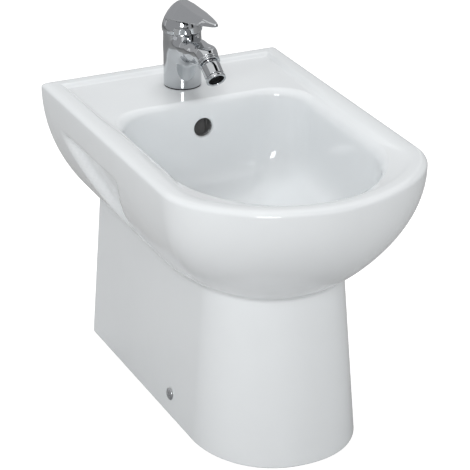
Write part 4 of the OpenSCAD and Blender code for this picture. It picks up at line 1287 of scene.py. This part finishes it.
@dataclass
class CastForm:
    """A form given by a field, drawn over with an even net of four-sided faces."""

    low: Corner
    high: Corner
    pitch: float

    ROUNDS = 3  # of evening, and of seating in each
    LEAST_SLOPE = 0.05
    CREASE_DEG = 50.0

    def net(self, shape: Field) -> tuple[Array, Array]:
        """Draws the net where the field is zero.

        Args:
            shape: The field, negative inside the metal.

        Returns:
            The vertices and the faces.
        """
        axes = [np.arange(a, b + self.pitch, self.pitch) for a, b in zip(self.low, self.high)]
        grid = np.stack(np.meshgrid(*axes, indexing="ij"), -1)
        value = shape(grid.reshape(-1, 3)).reshape(grid.shape[:3])
        inside = value < 0
        limit = tuple(n - 1 for n in inside.shape)
        total = np.zeros((*limit, 3))
        hits = np.zeros(limit)
        for axis, du, dv in product(range(3), (0, 1), (0, 1)):
            corner = [du, dv]
            corner.insert(axis, 0)
            a = [slice(d, d + n) for d, n in zip(corner, limit)]
            b = list(a)
            b[axis] = slice(1, 1 + limit[axis])
            va, vb = value[tuple(a)], value[tuple(b)]
            cross = (va < 0) != (vb < 0)
            t = np.where(cross, va / np.where(cross, va - vb, 1), 0)
            spot = grid[tuple(a)].copy()
            spot[..., axis] += t * self.pitch
            total += np.where(cross[..., None], spot, 0)
            hits += cross
        mask = hits > 0
        number = np.full(mask.shape, -1)
        number[mask] = np.arange(mask.sum())
        points = total[mask] / hits[mask][:, None]
        faces = []
        for axis in range(3):
            u, v = [(1, 2), (2, 0), (0, 1)][axis]
            a = inside.take(range(inside.shape[axis] - 1), axis)
            b = inside.take(range(1, inside.shape[axis]), axis)
            where = np.argwhere(a != b)
            where = where[(where[:, u] > 0) & (where[:, v] > 0)]
            where = where[(where[:, u] < limit[u]) & (where[:, v] < limit[v])]
            cells = []
            for du, dv in ((-1, -1), (0, -1), (0, 0), (-1, 0)):
                spot = where.copy()
                spot[:, u] += du
                spot[:, v] += dv
                cells.append(number[tuple(spot.T)])
            quad = np.stack(cells, 1)
            out = a[tuple(where.T)]
            faces.append(np.where(out[:, None], quad, quad[:, ::-1]))
        quads = np.concatenate(faces)
        for _ in range(self.ROUNDS):
            points = self._seated(self._evened(points, quads), shape)
        return points, quads

    @staticmethod
    def _evened(points: Array, quads: Array) -> Array:
        """Moves each vertex half way to the middle of its neighbours.

        Args:
            points: The net's vertices.
            quads: The net's faces.

        Returns:
            The moved vertices.
        """
        total = np.zeros_like(points)
        count = np.zeros(len(points))
        for a, b in ((0, 1), (1, 2), (2, 3), (3, 0)):
            for one, two in ((a, b), (b, a)):
                np.add.at(total, quads[:, one], points[quads[:, two]])
                np.add.at(count, quads[:, one], 1)
        return 0.5 * points + 0.5 * total / np.maximum(count, 1)[:, None]

    def _seated(self, points: Array, shape: Field) -> Array:
        """Moves vertices on to the surface where the field is zero.

        Args:
            points: The net's vertices.
            shape: The field.

        Returns:
            The moved vertices.
        """
        for _ in range(self.ROUNDS):
            slope = slope_of(shape, points)
            size = np.maximum((slope * slope).sum(1), self.LEAST_SLOPE)
            step = slope * (shape(points) / size)[:, None]
            length = np.linalg.norm(step, axis=1, keepdims=True)
            points = points - step * np.minimum(1, 0.5 * self.pitch / np.maximum(length, 1e-9))
        return points

    def build(self, name: str, shape: Field, place: Matrix, finish: Finish) -> Piece:
        """Makes the form's mesh.

        Args:
            name: The object's name.
            shape: The field.
            place: Where the form's own axes lie.
            finish: The finish.

        Returns:
            The new object.
        """
        points, quads = self.net(shape)
        piece = make_mesh(name, moved(points, place), [tuple(q) for q in quads.tolist()], [finish])
        turn_outwards(piece)
        smooth_shading(piece, self.CREASE_DEG)
        return piece


# ---------------------------------------------------------------- the mixer


@dataclass
class Mixer:
    """The single-lever mixer: cast body, lever, cap, collar, nozzle and pop-up knob.

    Heights count from the deck and places from the tap hole's axis.
    """

    tap_y: float = 201.5
    deck_z: float = 395.0
    body_r: float = 26.25
    body_h: float = 79.0
    gasket_t: float = 1.5
    pivot_h: float = 70.0
    seat_h: float = 50.0
    bore_r: float = 17.6
    spout_reach: float = 89.7
    spout_h: float = 59.9
    spout_root_drop: float = 2.9
    spout_root_r: float = 21.0
    spout_bend_y: float = -50.0
    spout_bend_rise: float = 4.1
    spout_bend_r: float = 16.0
    spout_end_r: float = 15.4
    slope_deg: float = 36.0
    elbow_s: float = -14.0
    collar_r: float = 15.3
    collar_back: float = -5.0
    collar_face: float = 1.2
    ball_r: float = 11.5
    ball_s: float = -4.5
    chamber_s: float = -17.0
    barrel_s: float = 4.2
    housing_s: float = 24.4
    nozzle_len: float = 28.8
    nozzle_r: float = 13.3
    insert_r: float = 10.4
    insert_s: float = 16.0
    lever_h: float = 122.0
    lever_reach: float = 112.0
    hood_r: float = 28.0
    hood_belly: float = 84.0
    skirt_h: float = 79.8
    hollow_r: float = 28.0
    core_r: float = 16.5
    core_rise: float = 18.0
    hub_r: float = 8.0
    screw_h: float = 102.0
    screw_r: float = 2.05
    stem_top: float = 108.0
    stem_r: float = 3.55
    blade_rise_deg: float = 9.4
    blade_low_z: float = 103.5
    recess_r: float = 27.05
    recess_top: float = 101.5
    inlet_x: float = 7.2
    inlet_r: float = 4.5
    stud_y: float = -13.0
    stud_r: float = 3.05
    rod_hole_r: float = 4.55
    index_r: float = 3.25
    rod_y: float = 14.5
    rod_lean: float = 24.0
    rod_top: float = 44.0

    UP = (0, 0, 1)
    DOME_POWER, RISE_POWER = 1.613, 1.55
    # Distances in front of the axis and the blade's half widths there, at its underside and top.
    BLADE_LOW = ((0, 20, 44, 66, 82, 93.5, 104, 109, 111, 112),
                 (27.6, 25.0, 20.0, 16.6, 13.4, 10.2, 6.6, 4.4, 2.6, 0.6))
    BLADE_TOP = ((0, 18, 60, 85, 100, 107, 110, 111.6), (7, 9.3, 9.3, 7.4, 5.4, 4.0, 2.6, 0.3))

    @property
    def at_tap(self) -> Matrix:
        """The place of the tap hole on the deck."""
        return shift(0, self.tap_y, self.deck_z)

    @property
    def on_nozzle(self) -> Matrix:
        """The nozzle's place: +Z runs out along it from the middle of its collar."""
        return (self.at_tap @ shift(0, -self.spout_reach, self.spout_h)
                @ spin(math.radians(90 + self.slope_deg), "X"))

    @property
    def on_rod(self) -> Matrix:
        """The pop-up rod's place: +Z runs up along it from the deck."""
        return self.at_tap @ shift(0, self.rod_y, 0) @ spin(math.radians(-self.rod_lean), "X")

    @property
    def nozzle_dir(self) -> Corner:
        """The nozzle's direction."""
        a = math.radians(self.slope_deg)
        return (0.0, -math.cos(a), -math.sin(a))

    def body_field(self, p: Array) -> Array:
        """The cast body with its spout, bores and passages.

        Args:
            p: Points about the tap hole, in millimetres.

        Returns:
            Distances, negative in the metal.
        """
        collar = (0.0, -self.spout_reach, self.spout_h)
        d = self.nozzle_dir
        elbow = tuple(c + self.elbow_s * k for c, k in zip(collar, d))
        r = np.hypot(p[:, 0], p[:, 1])
        ends = np.maximum(self.gasket_t - p[:, 2], p[:, 2] - self.body_h)
        wall = blend_common(r - self.body_r, ends, 1.2)
        root = (0.0, 0.0, self.spout_h - self.spout_root_drop)
        knee = (0.0, self.spout_bend_y, self.spout_h + self.spout_bend_rise)
        spout = blend_union(tapered(p, root, knee, self.spout_root_r, self.spout_bend_r),
                            tapered(p, knee, elbow, self.spout_bend_r, self.spout_end_r), 6.0)
        mouth = tuple(c + self.collar_back * k for c, k in zip(collar, d))
        end = tapered(p, elbow, mouth, self.spout_end_r, self.collar_r - 0.4)
        spout = blend_union(spout, end, 3.0)
        shape = blend_union(wall, spout, 9.0)
        shape = np.maximum(shape, p[:, 2] - self.body_h)
        shape = np.maximum(shape, r - self.body_r - 1.2 - 200 * (p[:, 1] < 0))
        shape = blend_common(shape, (p - np.array(mouth)) @ np.array(d), 0.8)
        lean, s = math.radians(self.rod_lean), math.sqrt(0.5)
        index = s * (self.body_r - 1.5)
        cuts = [
            ((0, 0, 0), self.UP, self.bore_r, self.seat_h, 200),
            (collar, d, self.ball_r + 0.4, self.chamber_s, 20),
            ((self.inlet_x, 0, 0), self.UP, self.inlet_r, -5, 15.5),
            ((-self.inlet_x, 0, 0), self.UP, self.inlet_r, -5, 15.5),
            ((0, self.stud_y, 0), self.UP, self.stud_r, -5, 20),
            ((0, self.rod_y, 0), (0, math.sin(lean), math.cos(lean)), self.rod_hole_r, -5, 60),
            ((-index, -index, self.body_h - 3.6), (-s, -s, 0), self.index_r, 0, 9),
        ]
        for cut in cuts:
            shape = np.maximum(shape, -drum_field(p, *cut))
        return shape

    def blade_half(self, u: Array, h: Array) -> tuple[Array, Array]:
        """The blade's half width and underside.

        Args:
            u: Distances in front of the axis.
            h: Heights above the deck.

        Returns:
            The half width at each height, and the underside's height.
        """
        low_w, top_w = (np.interp(u, *table) for table in (self.BLADE_LOW, self.BLADE_TOP))
        under = self.blade_low_z + (u - self.hood_r) * math.tan(math.radians(self.blade_rise_deg))
        share = np.clip((h - under) / (self.lever_h - under), 0, 1.2)
        return low_w + (top_w - low_w) * share ** 1.1, under

    def lever_field(self, p: Array) -> Array:
        """The lever: a hood over the cartridge, drawn out into a blade.

        Args:
            p: Points about the tap hole, in millimetres.

        Returns:
            Distances, negative in the metal.
        """
        x, u, h = np.abs(p[:, 0]), -p[:, 1], p[:, 2]
        r = np.hypot(x, u)
        height, f, g = self.lever_h - self.hood_belly, self.DOME_POWER, self.RISE_POWER
        rise = np.clip((h - self.hood_belly) / height, 0, None)
        across = np.maximum(r, 1e-3) / self.hood_r
        dome = across ** f + rise ** g - 1
        steep = np.hypot(f / self.hood_r * across ** (f - 1),
                         g / height * np.maximum(rise, 1e-4) ** (g - 1))
        hood = np.where(h < self.hood_belly, r - self.hood_r + 0.12 * (self.hood_belly - h),
                        dome / np.maximum(steep, 0.02))
        half, under = self.blade_half(u, h)
        side = (x - half) * 0.86
        blade = blend_common(side, h - self.lever_h, 2.2)
        blade = blend_common(blade, np.maximum(under - h, -u), 1.4)
        blade = blend_common(blade, u - self.lever_reach, 2.0)
        shape = blend_union(hood, blade, 3.0)
        recess = np.maximum(self.recess_r - r, np.maximum(x - u * 1.15, h - self.recess_top))
        shape = blend_common(shape, -recess, 0.5)
        shape = np.maximum(blend_common(shape, self.skirt_h - h, 0.5), h - self.lever_h)
        hollow = np.linalg.norm(p - np.array((0, 0, self.pivot_h)), axis=1) - self.hollow_r
        ends = np.maximum(self.pivot_h + self.core_rise - h, h - self.stem_top)
        core = np.maximum(np.maximum(r - self.core_r, self.hub_r - r), ends)
        stem = np.maximum(r - self.stem_r, h - self.stem_top - 0.1)
        screw = drum_field(p, (0, 0, self.screw_h), (0, -1, 0), self.screw_r, 0, 40)
        for cut in (hollow, core, stem, screw):
            shape = np.maximum(shape, -cut)
        return shape

    def build_cast(self) -> None:
        """Makes the cast pieces: the body with its spout, and the lever."""
        for form, name, shape, body, node in (
                (CastForm((-29, -108, -1), (29, 29, 82), 0.8),
                 "mixer_casting", self.body_field, "root", "mixer_body"),
                (CastForm((-30.1, -114.2, 77.1), (30.1, 30, 124), 0.65),
                 "lever_casting", self.lever_field, "lever", "lever")):
            finish_piece(form.build(name, shape, self.at_tap, CHROME), body, "chrome", node)

    def cap_profile(self) -> list[Corner]:
        """Draws the dome cap's profile, out along its outside and back along its inside.

        Returns:
            The profile's corners.
        """
        rise, hole_r, wall = self.body_h - self.pivot_h, 15, 2.5
        out_r = math.hypot(self.body_r, rise)
        (low, high), (in_low, in_high) = (
            (math.degrees(math.asin((rise + 0.02) / r)), math.degrees(math.acos(hole_r / r)))
            for r in (out_r, out_r - wall))
        outside = arc(out_r, self.pivot_h, low, high, 24)
        return outside + arc(out_r - wall, self.pivot_h, in_high, in_low, 20)

    def collar_profile(self) -> list[Corner]:
        """Draws the spout collar's profile, grooved outside and hollowed for the ball.

        Returns:
            The profile's corners.
        """
        r, groove_r, inner_r = self.collar_r, self.collar_r - 1.1, self.ball_r + 0.05
        socket = arc(inner_r, self.ball_s, 28, -2.5, 12)
        return [
            (r - 0.3, self.collar_back, 0.4), (r, self.collar_back + 0.6, 0.3), (r, -2.3, 0.3),
            (groove_r, -2.0, 0.2), (groove_r, -1.2, 0.2), (r, -0.9, 0.3),
            (r, self.collar_face, 1.5), (10.8, self.collar_face, 0.6), *socket,
            (inner_r, self.collar_back, 0.0)]

    def nozzle_profile(self) -> list[Corner]:
        """Draws the nozzle's profile: its barrel, its inside and its ball.

        Returns:
            The profile's corners.
        """
        r, groove_r, inner_r = self.nozzle_r, self.nozzle_r - 1.5, self.insert_r + 0.05
        neck_r, way_r, seat = 7.8, 4.5, self.insert_s - 2
        return [
            (neck_r, 2.6, 0.6), (neck_r, self.barrel_s - 0.2, 0.4), (r - 1.3, self.barrel_s, 0.5),
            (r, self.barrel_s + 1.6, 0.8), (r, self.housing_s - 1.8, 0.5),
            (groove_r, self.housing_s - 1.3, 0.3), (groove_r, self.housing_s, 0.0),
            (inner_r, self.housing_s, 0.2), (inner_r, seat, 0.0), (way_r, seat, 0.3),
            (way_r, -15.0, 0.3),
            *arc(self.ball_r, self.ball_s, 42, -66, 30)[::-1][1:]]

    def rim_profile(self) -> list[Corner]:
        """The profile of the nozzle's rim, which holds the aerator."""
        r, low, high = self.nozzle_r + 0.5, self.housing_s, self.nozzle_len
        return [(self.nozzle_r - 1.5, low, 0.0), (r, low + 0.5, 0.5), (r, high, 1.5),
                (self.insert_r + 0.3, high, 1.2), (self.insert_r - 0.3, low, 0.2)]

    @staticmethod
    def knob_profile() -> list[Corner]:
        """The pop-up knob's profile."""
        return [(0, 0, 0), (4, 0, 0.6), (4.7, 1.6, 0.6), (5, 3.2, 2), (8.9, 6.4, 2),
                (9.3, 8.5, 1.6), (8.7, 10.6, 1.6), (5.6, 12.1, 3), (0, 12.6, 0)]

    def build_turned(self) -> None:
        """Makes the turned chrome pieces: cap, collar, nozzle, its rim and the pop-up knob."""
        on_rod, on_nozzle = self.on_rod @ shift(0, 0, self.rod_top), self.on_nozzle
        for name, profile, place, segments, body, node in (
                ("cartridge_cap", self.cap_profile(), self.at_tap, 128, "root", "dome_cap"),
                ("nozzle_collar", self.collar_profile(), on_nozzle, 128, "root", "spout_collar"),
                ("nozzle_barrel", self.nozzle_profile(), on_nozzle, 128, "nozzle", "nozzle_ball"),
                ("nozzle_rim", self.rim_profile(), on_nozzle, 128, "nozzle", "aerator_housing"),
                ("popup_knob", self.knob_profile(), on_rod, 96, "lift_rod", "lift_knob")):
            piece = TurnedPiece(name, profile, place, segments=segments).build()
            finish_piece(piece, body, "chrome", node)

    def build_screen(self) -> None:
        """Makes the dark flow screen in the nozzle's mouth, a disc under a honeycomb of cells."""
        r, face, floor = self.insert_r, self.housing_s - self.insert_s - 0.1, 2.2
        cells_r, cells_h, sunk = 9.05, 0.8, 1.6
        piece = TurnedPiece("flow_screen", [
            (0, 0, 0), (r, 0, 0.3), (r, face, 0.3), (r - 1.2, face, 0.2),
            (r - 1.4, face - floor, 0.2), (0, face - floor, 0)],
            Matrix.Identity(4), RUBBER, 96).build()
        RepeatTree.applied(piece, RepeatTree.cells(), RUBBER,
                           {"Pitch": 1.5, "Radius": 8.2, "Wall": 0.28, "Depth": 1.4})
        for vertex in piece.data.vertices:
            x, y, z = vertex.co / MM
            if abs(z) < cells_h and math.hypot(x, y) < cells_r and vertex.co.length > TINY:
                vertex.co.z += (face - sunk) * MM
        place_mesh(piece, self.on_nozzle @ shift(0, 0, self.insert_s))
        smooth_shading(piece)
        finish_piece(piece, "nozzle", "rubber", "aerator_insert")

    def build(self) -> None:
        """Makes every visible piece of the mixer."""
        self.build_cast()
        self.build_turned()
        self.build_screen()


# ---------------------------------------------------------------- caps, waste and trap


@dataclass
class SideCaps:
    """The two chrome caps over the side fixing screws."""

    face_x: float = 110.865
    gap: float = 0.625
    height: float = 32.5
    radius: float = 8.75

    def build(self) -> None:
        """Makes both caps, each with a button in a shallow dish."""
        corners = [(0, 3.4, 0), (1.5, 3.4, 0.4), (2.0, 2.6, 0.4), (3.4, 2.2, 0.5), (5.4, 2.8, 0.8),
                   (7.2, 2.3, 0.8), (self.radius, 0.9, 0.5), (self.radius, 0, 0.2), (0, 0, 0)]
        caps = []
        for side in (1, -1):
            x = side * (self.face_x + self.gap)
            place = shift(x, 0, self.height) @ spin(side * QUARTER, "Y")
            caps.append(TurnedPiece(f"cap_{side}", corners, place, segments=64).build())
        finish_piece(joined("screw_caps", caps), "root", "chrome", "side_caps")


@dataclass
class WasteSet:
    """What shows of the waste in the basin: the flange and the stopper."""

    waste_y: float = 30.0
    flange_z: float = 246.5
    flange_r: float = 32.0
    flange_t: float = 2.5
    pipe_r: float = 22.0
    pipe_in_r: float = 19.0
    pipe_low_z: float = 183.0
    slot_z: float = 221.0
    slot_half: Corner = (33.0, 7.0, 6.0)
    cap_z: float = 260.55

    def build(self) -> None:
        """Makes the flange with its sleeve and the domed stopper."""
        r, pipe_r, in_r = self.flange_r, self.pipe_r, self.pipe_in_r
        low = self.pipe_low_z - self.flange_z
        flange = TurnedPiece("drain_flange", [
            (r, 0, 0.3), (r - 0.3, 1.2, 0.6), (r - 2.5, self.flange_t, 1.0),
            (in_r + 4, self.flange_t - 0.4, 0.8), (in_r, 0.4, 1.0), (in_r, low, 0.3),
            (pipe_r, low, 0.3), (pipe_r, 0, 0.2)], shift(0, self.waste_y, self.flange_z)).build()
        for turn in (0.0, QUARTER):
            self.slot_through(flange, turn)
        finish_piece(flange, "root", "chrome", "waste_flange")
        stopper = TurnedPiece("stopper_dome", [
            (0, 0, 0), (27, 0, 0.6), (30, 0.5, 0.5), (30.5, 1.4, 0.6), (29.4, 2.6, 1.2),
            (22, 4.4, 5), (12, 5.4, 5), (0, 5.8, 0)], shift(0, self.waste_y, self.cap_z)).build()
        finish_piece(stopper, "stopper", "chrome", "stopper_cap")

    def slot_through(self, piece: Piece, turn: float) -> None:
        """Cuts an overflow slot through the sleeve.

        Args:
            piece: The flange with its sleeve.
            turn: The slot's turn about the sleeve's axis.
        """
        points, faces = cuboid(tuple(-half for half in self.slot_half), self.slot_half)
        place = shift(0, self.waste_y, self.slot_z) @ spin(turn, "Z")
        tool = make_mesh("slot_tool", moved(points, place), faces, [CHROME])
        carve(piece, [(tool, Action.CUT, 0)])
        smooth_shading(piece)


@dataclass
class RibbedNut:
    """A moulded plastic nut or cup with grip ribs round it."""

    name: str
    node: str
    corners: Sequence[Corner]
    place: Matrix
    radius: float
    height: float
    middle: float
    count: int = 28
    width: float = 1.3
    depth: float = 0.9

    def build(self) -> None:
        """Makes the nut and sets its ribs with the rib tree."""
        piece = TurnedPiece(self.name, self.corners, Matrix.Identity(4), WHITE_PLASTIC, 112).build()
        RepeatTree.applied(piece, RepeatTree.ribs(), WHITE_PLASTIC, {
            "Radius": self.radius, "Height": self.height, "Width": self.width, "Depth": self.depth,
            "Middle": self.middle}, Count=self.count)
        place_mesh(piece, self.place)
        smooth_shading(piece)
        finish_piece(piece, "root", "white_plastic", self.node)


@dataclass
class BottleTrap:
    """The ribbed nuts and the cup of the bottle trap behind the pedestal."""

    waste_y: float = 30.0
    outlet_h: float = 108.0
    trap_r: float = 33.0
    neck_r: float = 20.5
    pipe_r: float = 16.0
    neck_top_z: float = 140.0
    stub_end_y: float = 87.0
    cup_low_z: float = 44.0
    trap_low_z: float = 74.0
    port_h: float = 166.0
    port_y: float = 64.0
    ball_seat_r: float = 6.05

    def neck_nut(self, name: str, node: str, pipe_r: float, place: Matrix) -> RibbedNut:
        """A nut over a neck and its washer, round a pipe.

        Args:
            name: The nut's name.
            node: The CAD node that it stands for.
            pipe_r: The pipe's radius.
            place: Where the nut starts.

        Returns:
            The nut.
        """
        out, way_r, neck_r = self.neck_r + 4.0, pipe_r + 0.05, self.neck_r + 0.05
        return RibbedNut(name, node, [
            (out, 0, 0.8), (out, 14.6, 1.6), (out - 2, 16, 1.2), (way_r, 16, 0.5), (way_r, 13, 0),
            (neck_r, 13, 0), (neck_r, 0, 0.4)], place, 24.4, 12.4, 7.2)

    def cup(self) -> RibbedNut:
        """The trap's cup, which unscrews for cleaning."""
        r, out, depth = self.trap_r, self.trap_r + 2.2, self.trap_low_z + 12 - self.cup_low_z
        return RibbedNut("trap_bottom_cup", "trap_cup", [
            (0, 0, 0), (r - 4, 0, 4), (out, 5, 4), (out, 21, 0.6), (r + 3, 23, 0.6),
            (r + 3, depth, 0.8), (r + 0.05, depth, 0.4), (r + 0.05, 27, 0), (r - 2.5, 27, 0.3),
            (r - 2.5, 3, 2), (0, 3, 0)],
            shift(0, self.waste_y, self.cup_low_z), out, 13.0, 13.5, 36, 1.2, 0.75)

    def ball_nut(self) -> RibbedNut:
        """The nut that holds the ball of the pop-up's rod."""
        return RibbedNut("ball_rod_nut", "ball_nut", [
            (11.2, 0, 0.5), (11.2, 13, 1.0), (10.2, 14, 0.6), (6.2, 14, 0.4), (4.05, 12.6, 0.2),
            *arc(self.ball_seat_r, 8, 48, 10, 8), (self.ball_seat_r, 9.05, 0), (9.05, 9.05, 0),
            (9.05, 0, 0.2)], shift(0, self.port_y - 8, self.port_h) @ spin(-QUARTER, "X"),
            11.2, 10.5, 6.6, 22, 0.8, 0.75)

    def build(self) -> None:
        """Makes the nuts and the cup."""
        up = shift(0, self.waste_y, self.neck_top_z - 10)
        back = shift(0, self.stub_end_y - 10, self.outlet_h) @ spin(-QUARTER, "X")
        for nut in (self.neck_nut("trap_top_nut", "trap_inlet_nut", self.pipe_r, up),
                    self.neck_nut("trap_back_nut", "outlet_nut", self.pipe_r - 0.5, back),
                    self.cup(), self.ball_nut()):
            nut.build()


# ---------------------------------------------------------------- carried-over CAD nodes


@dataclass
class PlainParts:
    """Finishes for the CAD nodes that keep their own shape."""

    nodes: dict[str, Piece]
    record: dict

    def dress(self) -> None:
        """Gives each node the finish of its material slot."""
        for part in self.record["subparts"]:
            name = part["node"]
            finish = NODE_FINISHES.get(name, SLOT_FINISHES[part["material_slot"]])
            node = self.nodes[name]
            if not node.material_slots:
                node.data.materials.append(finish.material())
            for slot in node.material_slots:
                slot.material = finish.material()
        log.info("%d CAD nodes dressed", len(self.record["subparts"]))


# ---------------------------------------------------------------- the studio


@dataclass(frozen=True)
class Softbox:
    """One lamp with a soft rectangular face, aimed at the middle of the object."""

    name: str
    place: Corner
    size: tuple[float, float]
    watts: float
    mirrored: bool = False

    AIM = (0, 0, 0.3)

    def hang(self) -> None:
        """Hangs the lamp, kept out of reflections unless it is mirrored."""
        lamp = bpy.data.lights.new(self.name, "AREA")
        lamp.shape = "RECTANGLE"
        lamp.size, lamp.size_y = self.size
        lamp.energy = self.watts
        holder = bpy.data.objects.new(self.name, lamp)
        holder.location = self.place
        holder.visible_glossy = self.mirrored
        aim = Vector(self.AIM) - Vector(self.place)
        holder.rotation_euler = aim.to_track_quat("-Z", "Y").to_euler()
        bpy.context.scene.collection.objects.link(holder)


@dataclass(frozen=True)
class Card:
    """A grey card between two corners, in metres; it lies flat where both are level."""

    name: str
    low: Corner
    high: Corner
    grey: float

    COOLNESS = 1.02

    def hang(self) -> None:
        """Hangs the card, seen only in reflections."""
        material, graph = node_material(self.name)
        graph.tree.nodes.remove(graph.tree.nodes["Principled BSDF"])
        grey = self.grey
        glow = graph.add("ShaderNodeEmission", {"Color": (grey, grey, grey * self.COOLNESS, 1)})
        graph.feed(graph.tree.nodes["Material Output"], {"Surface": glow})
        a, b = np.array(self.low) / MM, np.array(self.high) / MM
        far = a[1] if a[2] == b[2] else b[1]
        points = [a, [b[0], far, a[2]], b, [a[0], b[1] + a[1] - far, b[2]]]
        plane = make_mesh(self.name, np.array(points), [(0, 1, 2, 3)], [])
        plane.data.materials.append(material)
        plane.visible_camera = plane.visible_diffuse = plane.visible_shadow = False


@dataclass
class Studio:
    """Floor, world, cards, lamps and the camera at the photograph's viewing angle."""

    focal_px: float = 2204.0
    image_px: float = 470.0
    sensor_mm: float = 36.0
    yaw_deg: float = 25.163
    pitch_deg: float = 24.582
    roll_deg: float = 0.091
    eye_mm: Corner = (-1151.367, -2420.817, 1474.48)
    view_end: float = 100.0
    floor_half: float = 6.0
    floor_mm: float = -0.4
    floor_grey: float = 0.5
    floor_glow: float = 0.80
    world_fill: float = 0.25
    lamps: list[Softbox] = field(default_factory=lambda: [
        Softbox("key", (-1.15, -2.30, 1.70), (0.7, 0.9), 27.5, True),
        Softbox("top", (0.2, 0.7, 2.6), (1.4, 0.8), 29.0),
        Softbox("left", (-2.6, -0.3, 0.9), (0.9, 1.4), 23.0),
        Softbox("right", (2.0, -1.5, 1.0), (0.7, 1.2), 12.0),
        Softbox("low", (0.3, -3.0, 0.35), (1.6, 0.6), 8.0),
    ])
    cards: list[Card] = field(default_factory=lambda: [
        Card("card_front", (-3.5, -3.6, 0.0), (3.5, -3.6, 3.0), 0.46),
        Card("card_left", (-3.2, -3.4, 0.0), (-3.2, 3.4, 3.0), 0.44),
        Card("card_right", (3.2, 3.4, 0.0), (3.2, -3.4, 3.0), 0.42),
        Card("card_rear", (3.0, 3.6, 0.0), (-3.0, 3.6, 3.0), 0.5),
        Card("flag_right", (1.5, -2.2, 0.2), (1.9, -1.7, 1.8), 0.01),
        Card("flag_front", (0.15, -3.1, 0.0), (0.75, -3.1, 1.1), 0.01),
        Card("flag_low", (-0.9, -2.2, 0.02), (0.1, -2.2, 0.4), 0.02),
        Card("flag_top", (0.25, -1.1, 2.3), (1.35, 0.1, 2.3), 0.01),
    ])

    def camera(self) -> None:
        """Sets the camera where the photograph was taken from."""
        y, p, r = (math.radians(a) for a in (self.yaw_deg, self.pitch_deg, self.roll_deg))
        ahead = Vector((math.sin(y) * math.cos(p), math.cos(y) * math.cos(p), -math.sin(p)))
        right = Vector((math.cos(y), -math.sin(y), 0))
        up = right.cross(ahead)
        across = right * math.cos(r) + up * math.sin(r)
        above = up * math.cos(r) - right * math.sin(r)
        lens = bpy.data.cameras.new("camera")
        lens.sensor_width = self.sensor_mm
        lens.lens = self.focal_px / self.image_px * self.sensor_mm
        lens.clip_end = self.view_end
        holder = bpy.data.objects.new("camera", lens)
        turn = Matrix((across, above, -ahead)).transposed().to_4x4()
        holder.matrix_world = Matrix.Translation(Vector(self.eye_mm) * MM) @ turn
        bpy.context.scene.collection.objects.link(holder)
        bpy.context.scene.camera = holder

    def world(self) -> None:
        """Gives the world a soft fill, white to the camera and in reflections."""
        world = bpy.data.worlds.new("studio")
        bpy.context.scene.world = world
        world.use_nodes = True
        graph = Graph(world.node_tree)
        ray = graph.add("ShaderNodeLightPath").node.outputs
        seen = ray["Is Camera Ray"]
        for kind in ("Is Glossy Ray", "Is Transmission Ray"):
            seen = graph.add("ShaderNodeMath", {0: seen, 1: ray[kind]}, operation="MAXIMUM")
        level = graph.add("ShaderNodeMapRange",
                          {"To Min": self.world_fill, "To Max": 1.0, "Value": seen})
        graph.feed(graph.tree.nodes["Background"], {"Color": (1, 1, 1, 1), "Strength": level})

    def floor(self) -> None:
        """Lays the plain white floor, which keeps the object's shadow."""
        material, graph = node_material("studio_floor")
        seen = graph.add("ShaderNodeLightPath", out="Is Camera Ray")
        graph.feed(graph.tree.nodes["Principled BSDF"], {
            "Base Color": (*[self.floor_grey] * 3, 1), "Roughness": 0.9, "Specular IOR Level": 0.1,
            "Emission Color": (1, 1, 1, 1), "Emission Strength": graph.add(
                "ShaderNodeMath", {0: seen, 1: self.floor_glow}, operation="MULTIPLY")})
        half, z = self.floor_half / MM, self.floor_mm
        points = np.array([[-half, -half, z], [half, -half, z], [half, half, z], [-half, half, z]])
        plane = make_mesh("floor", points, [(0, 1, 2, 3)], [])
        plane.data.materials.append(material)

    def build(self) -> None:
        """Sets up the whole studio."""
        self.camera()
        self.world()
        self.floor()
        for item in (*self.cards, *self.lamps):
            item.hang()
        bpy.context.scene.view_settings.view_transform = "Standard"
        log.info("studio with %d lamps", len(self.lamps))


def main() -> None:
    """Builds the bidet's looks in order."""
    logging.basicConfig(level=logging.INFO, format="%(name)s: %(message)s")
    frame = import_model()
    PlainParts(frame["nodes"], frame["record"]).dress()
    for assembly in (GlazedBody(), Mixer(), SideCaps(), WasteSet(), BottleTrap(), Studio()):
        assembly.build()


if __name__ == "__main__":
    main()
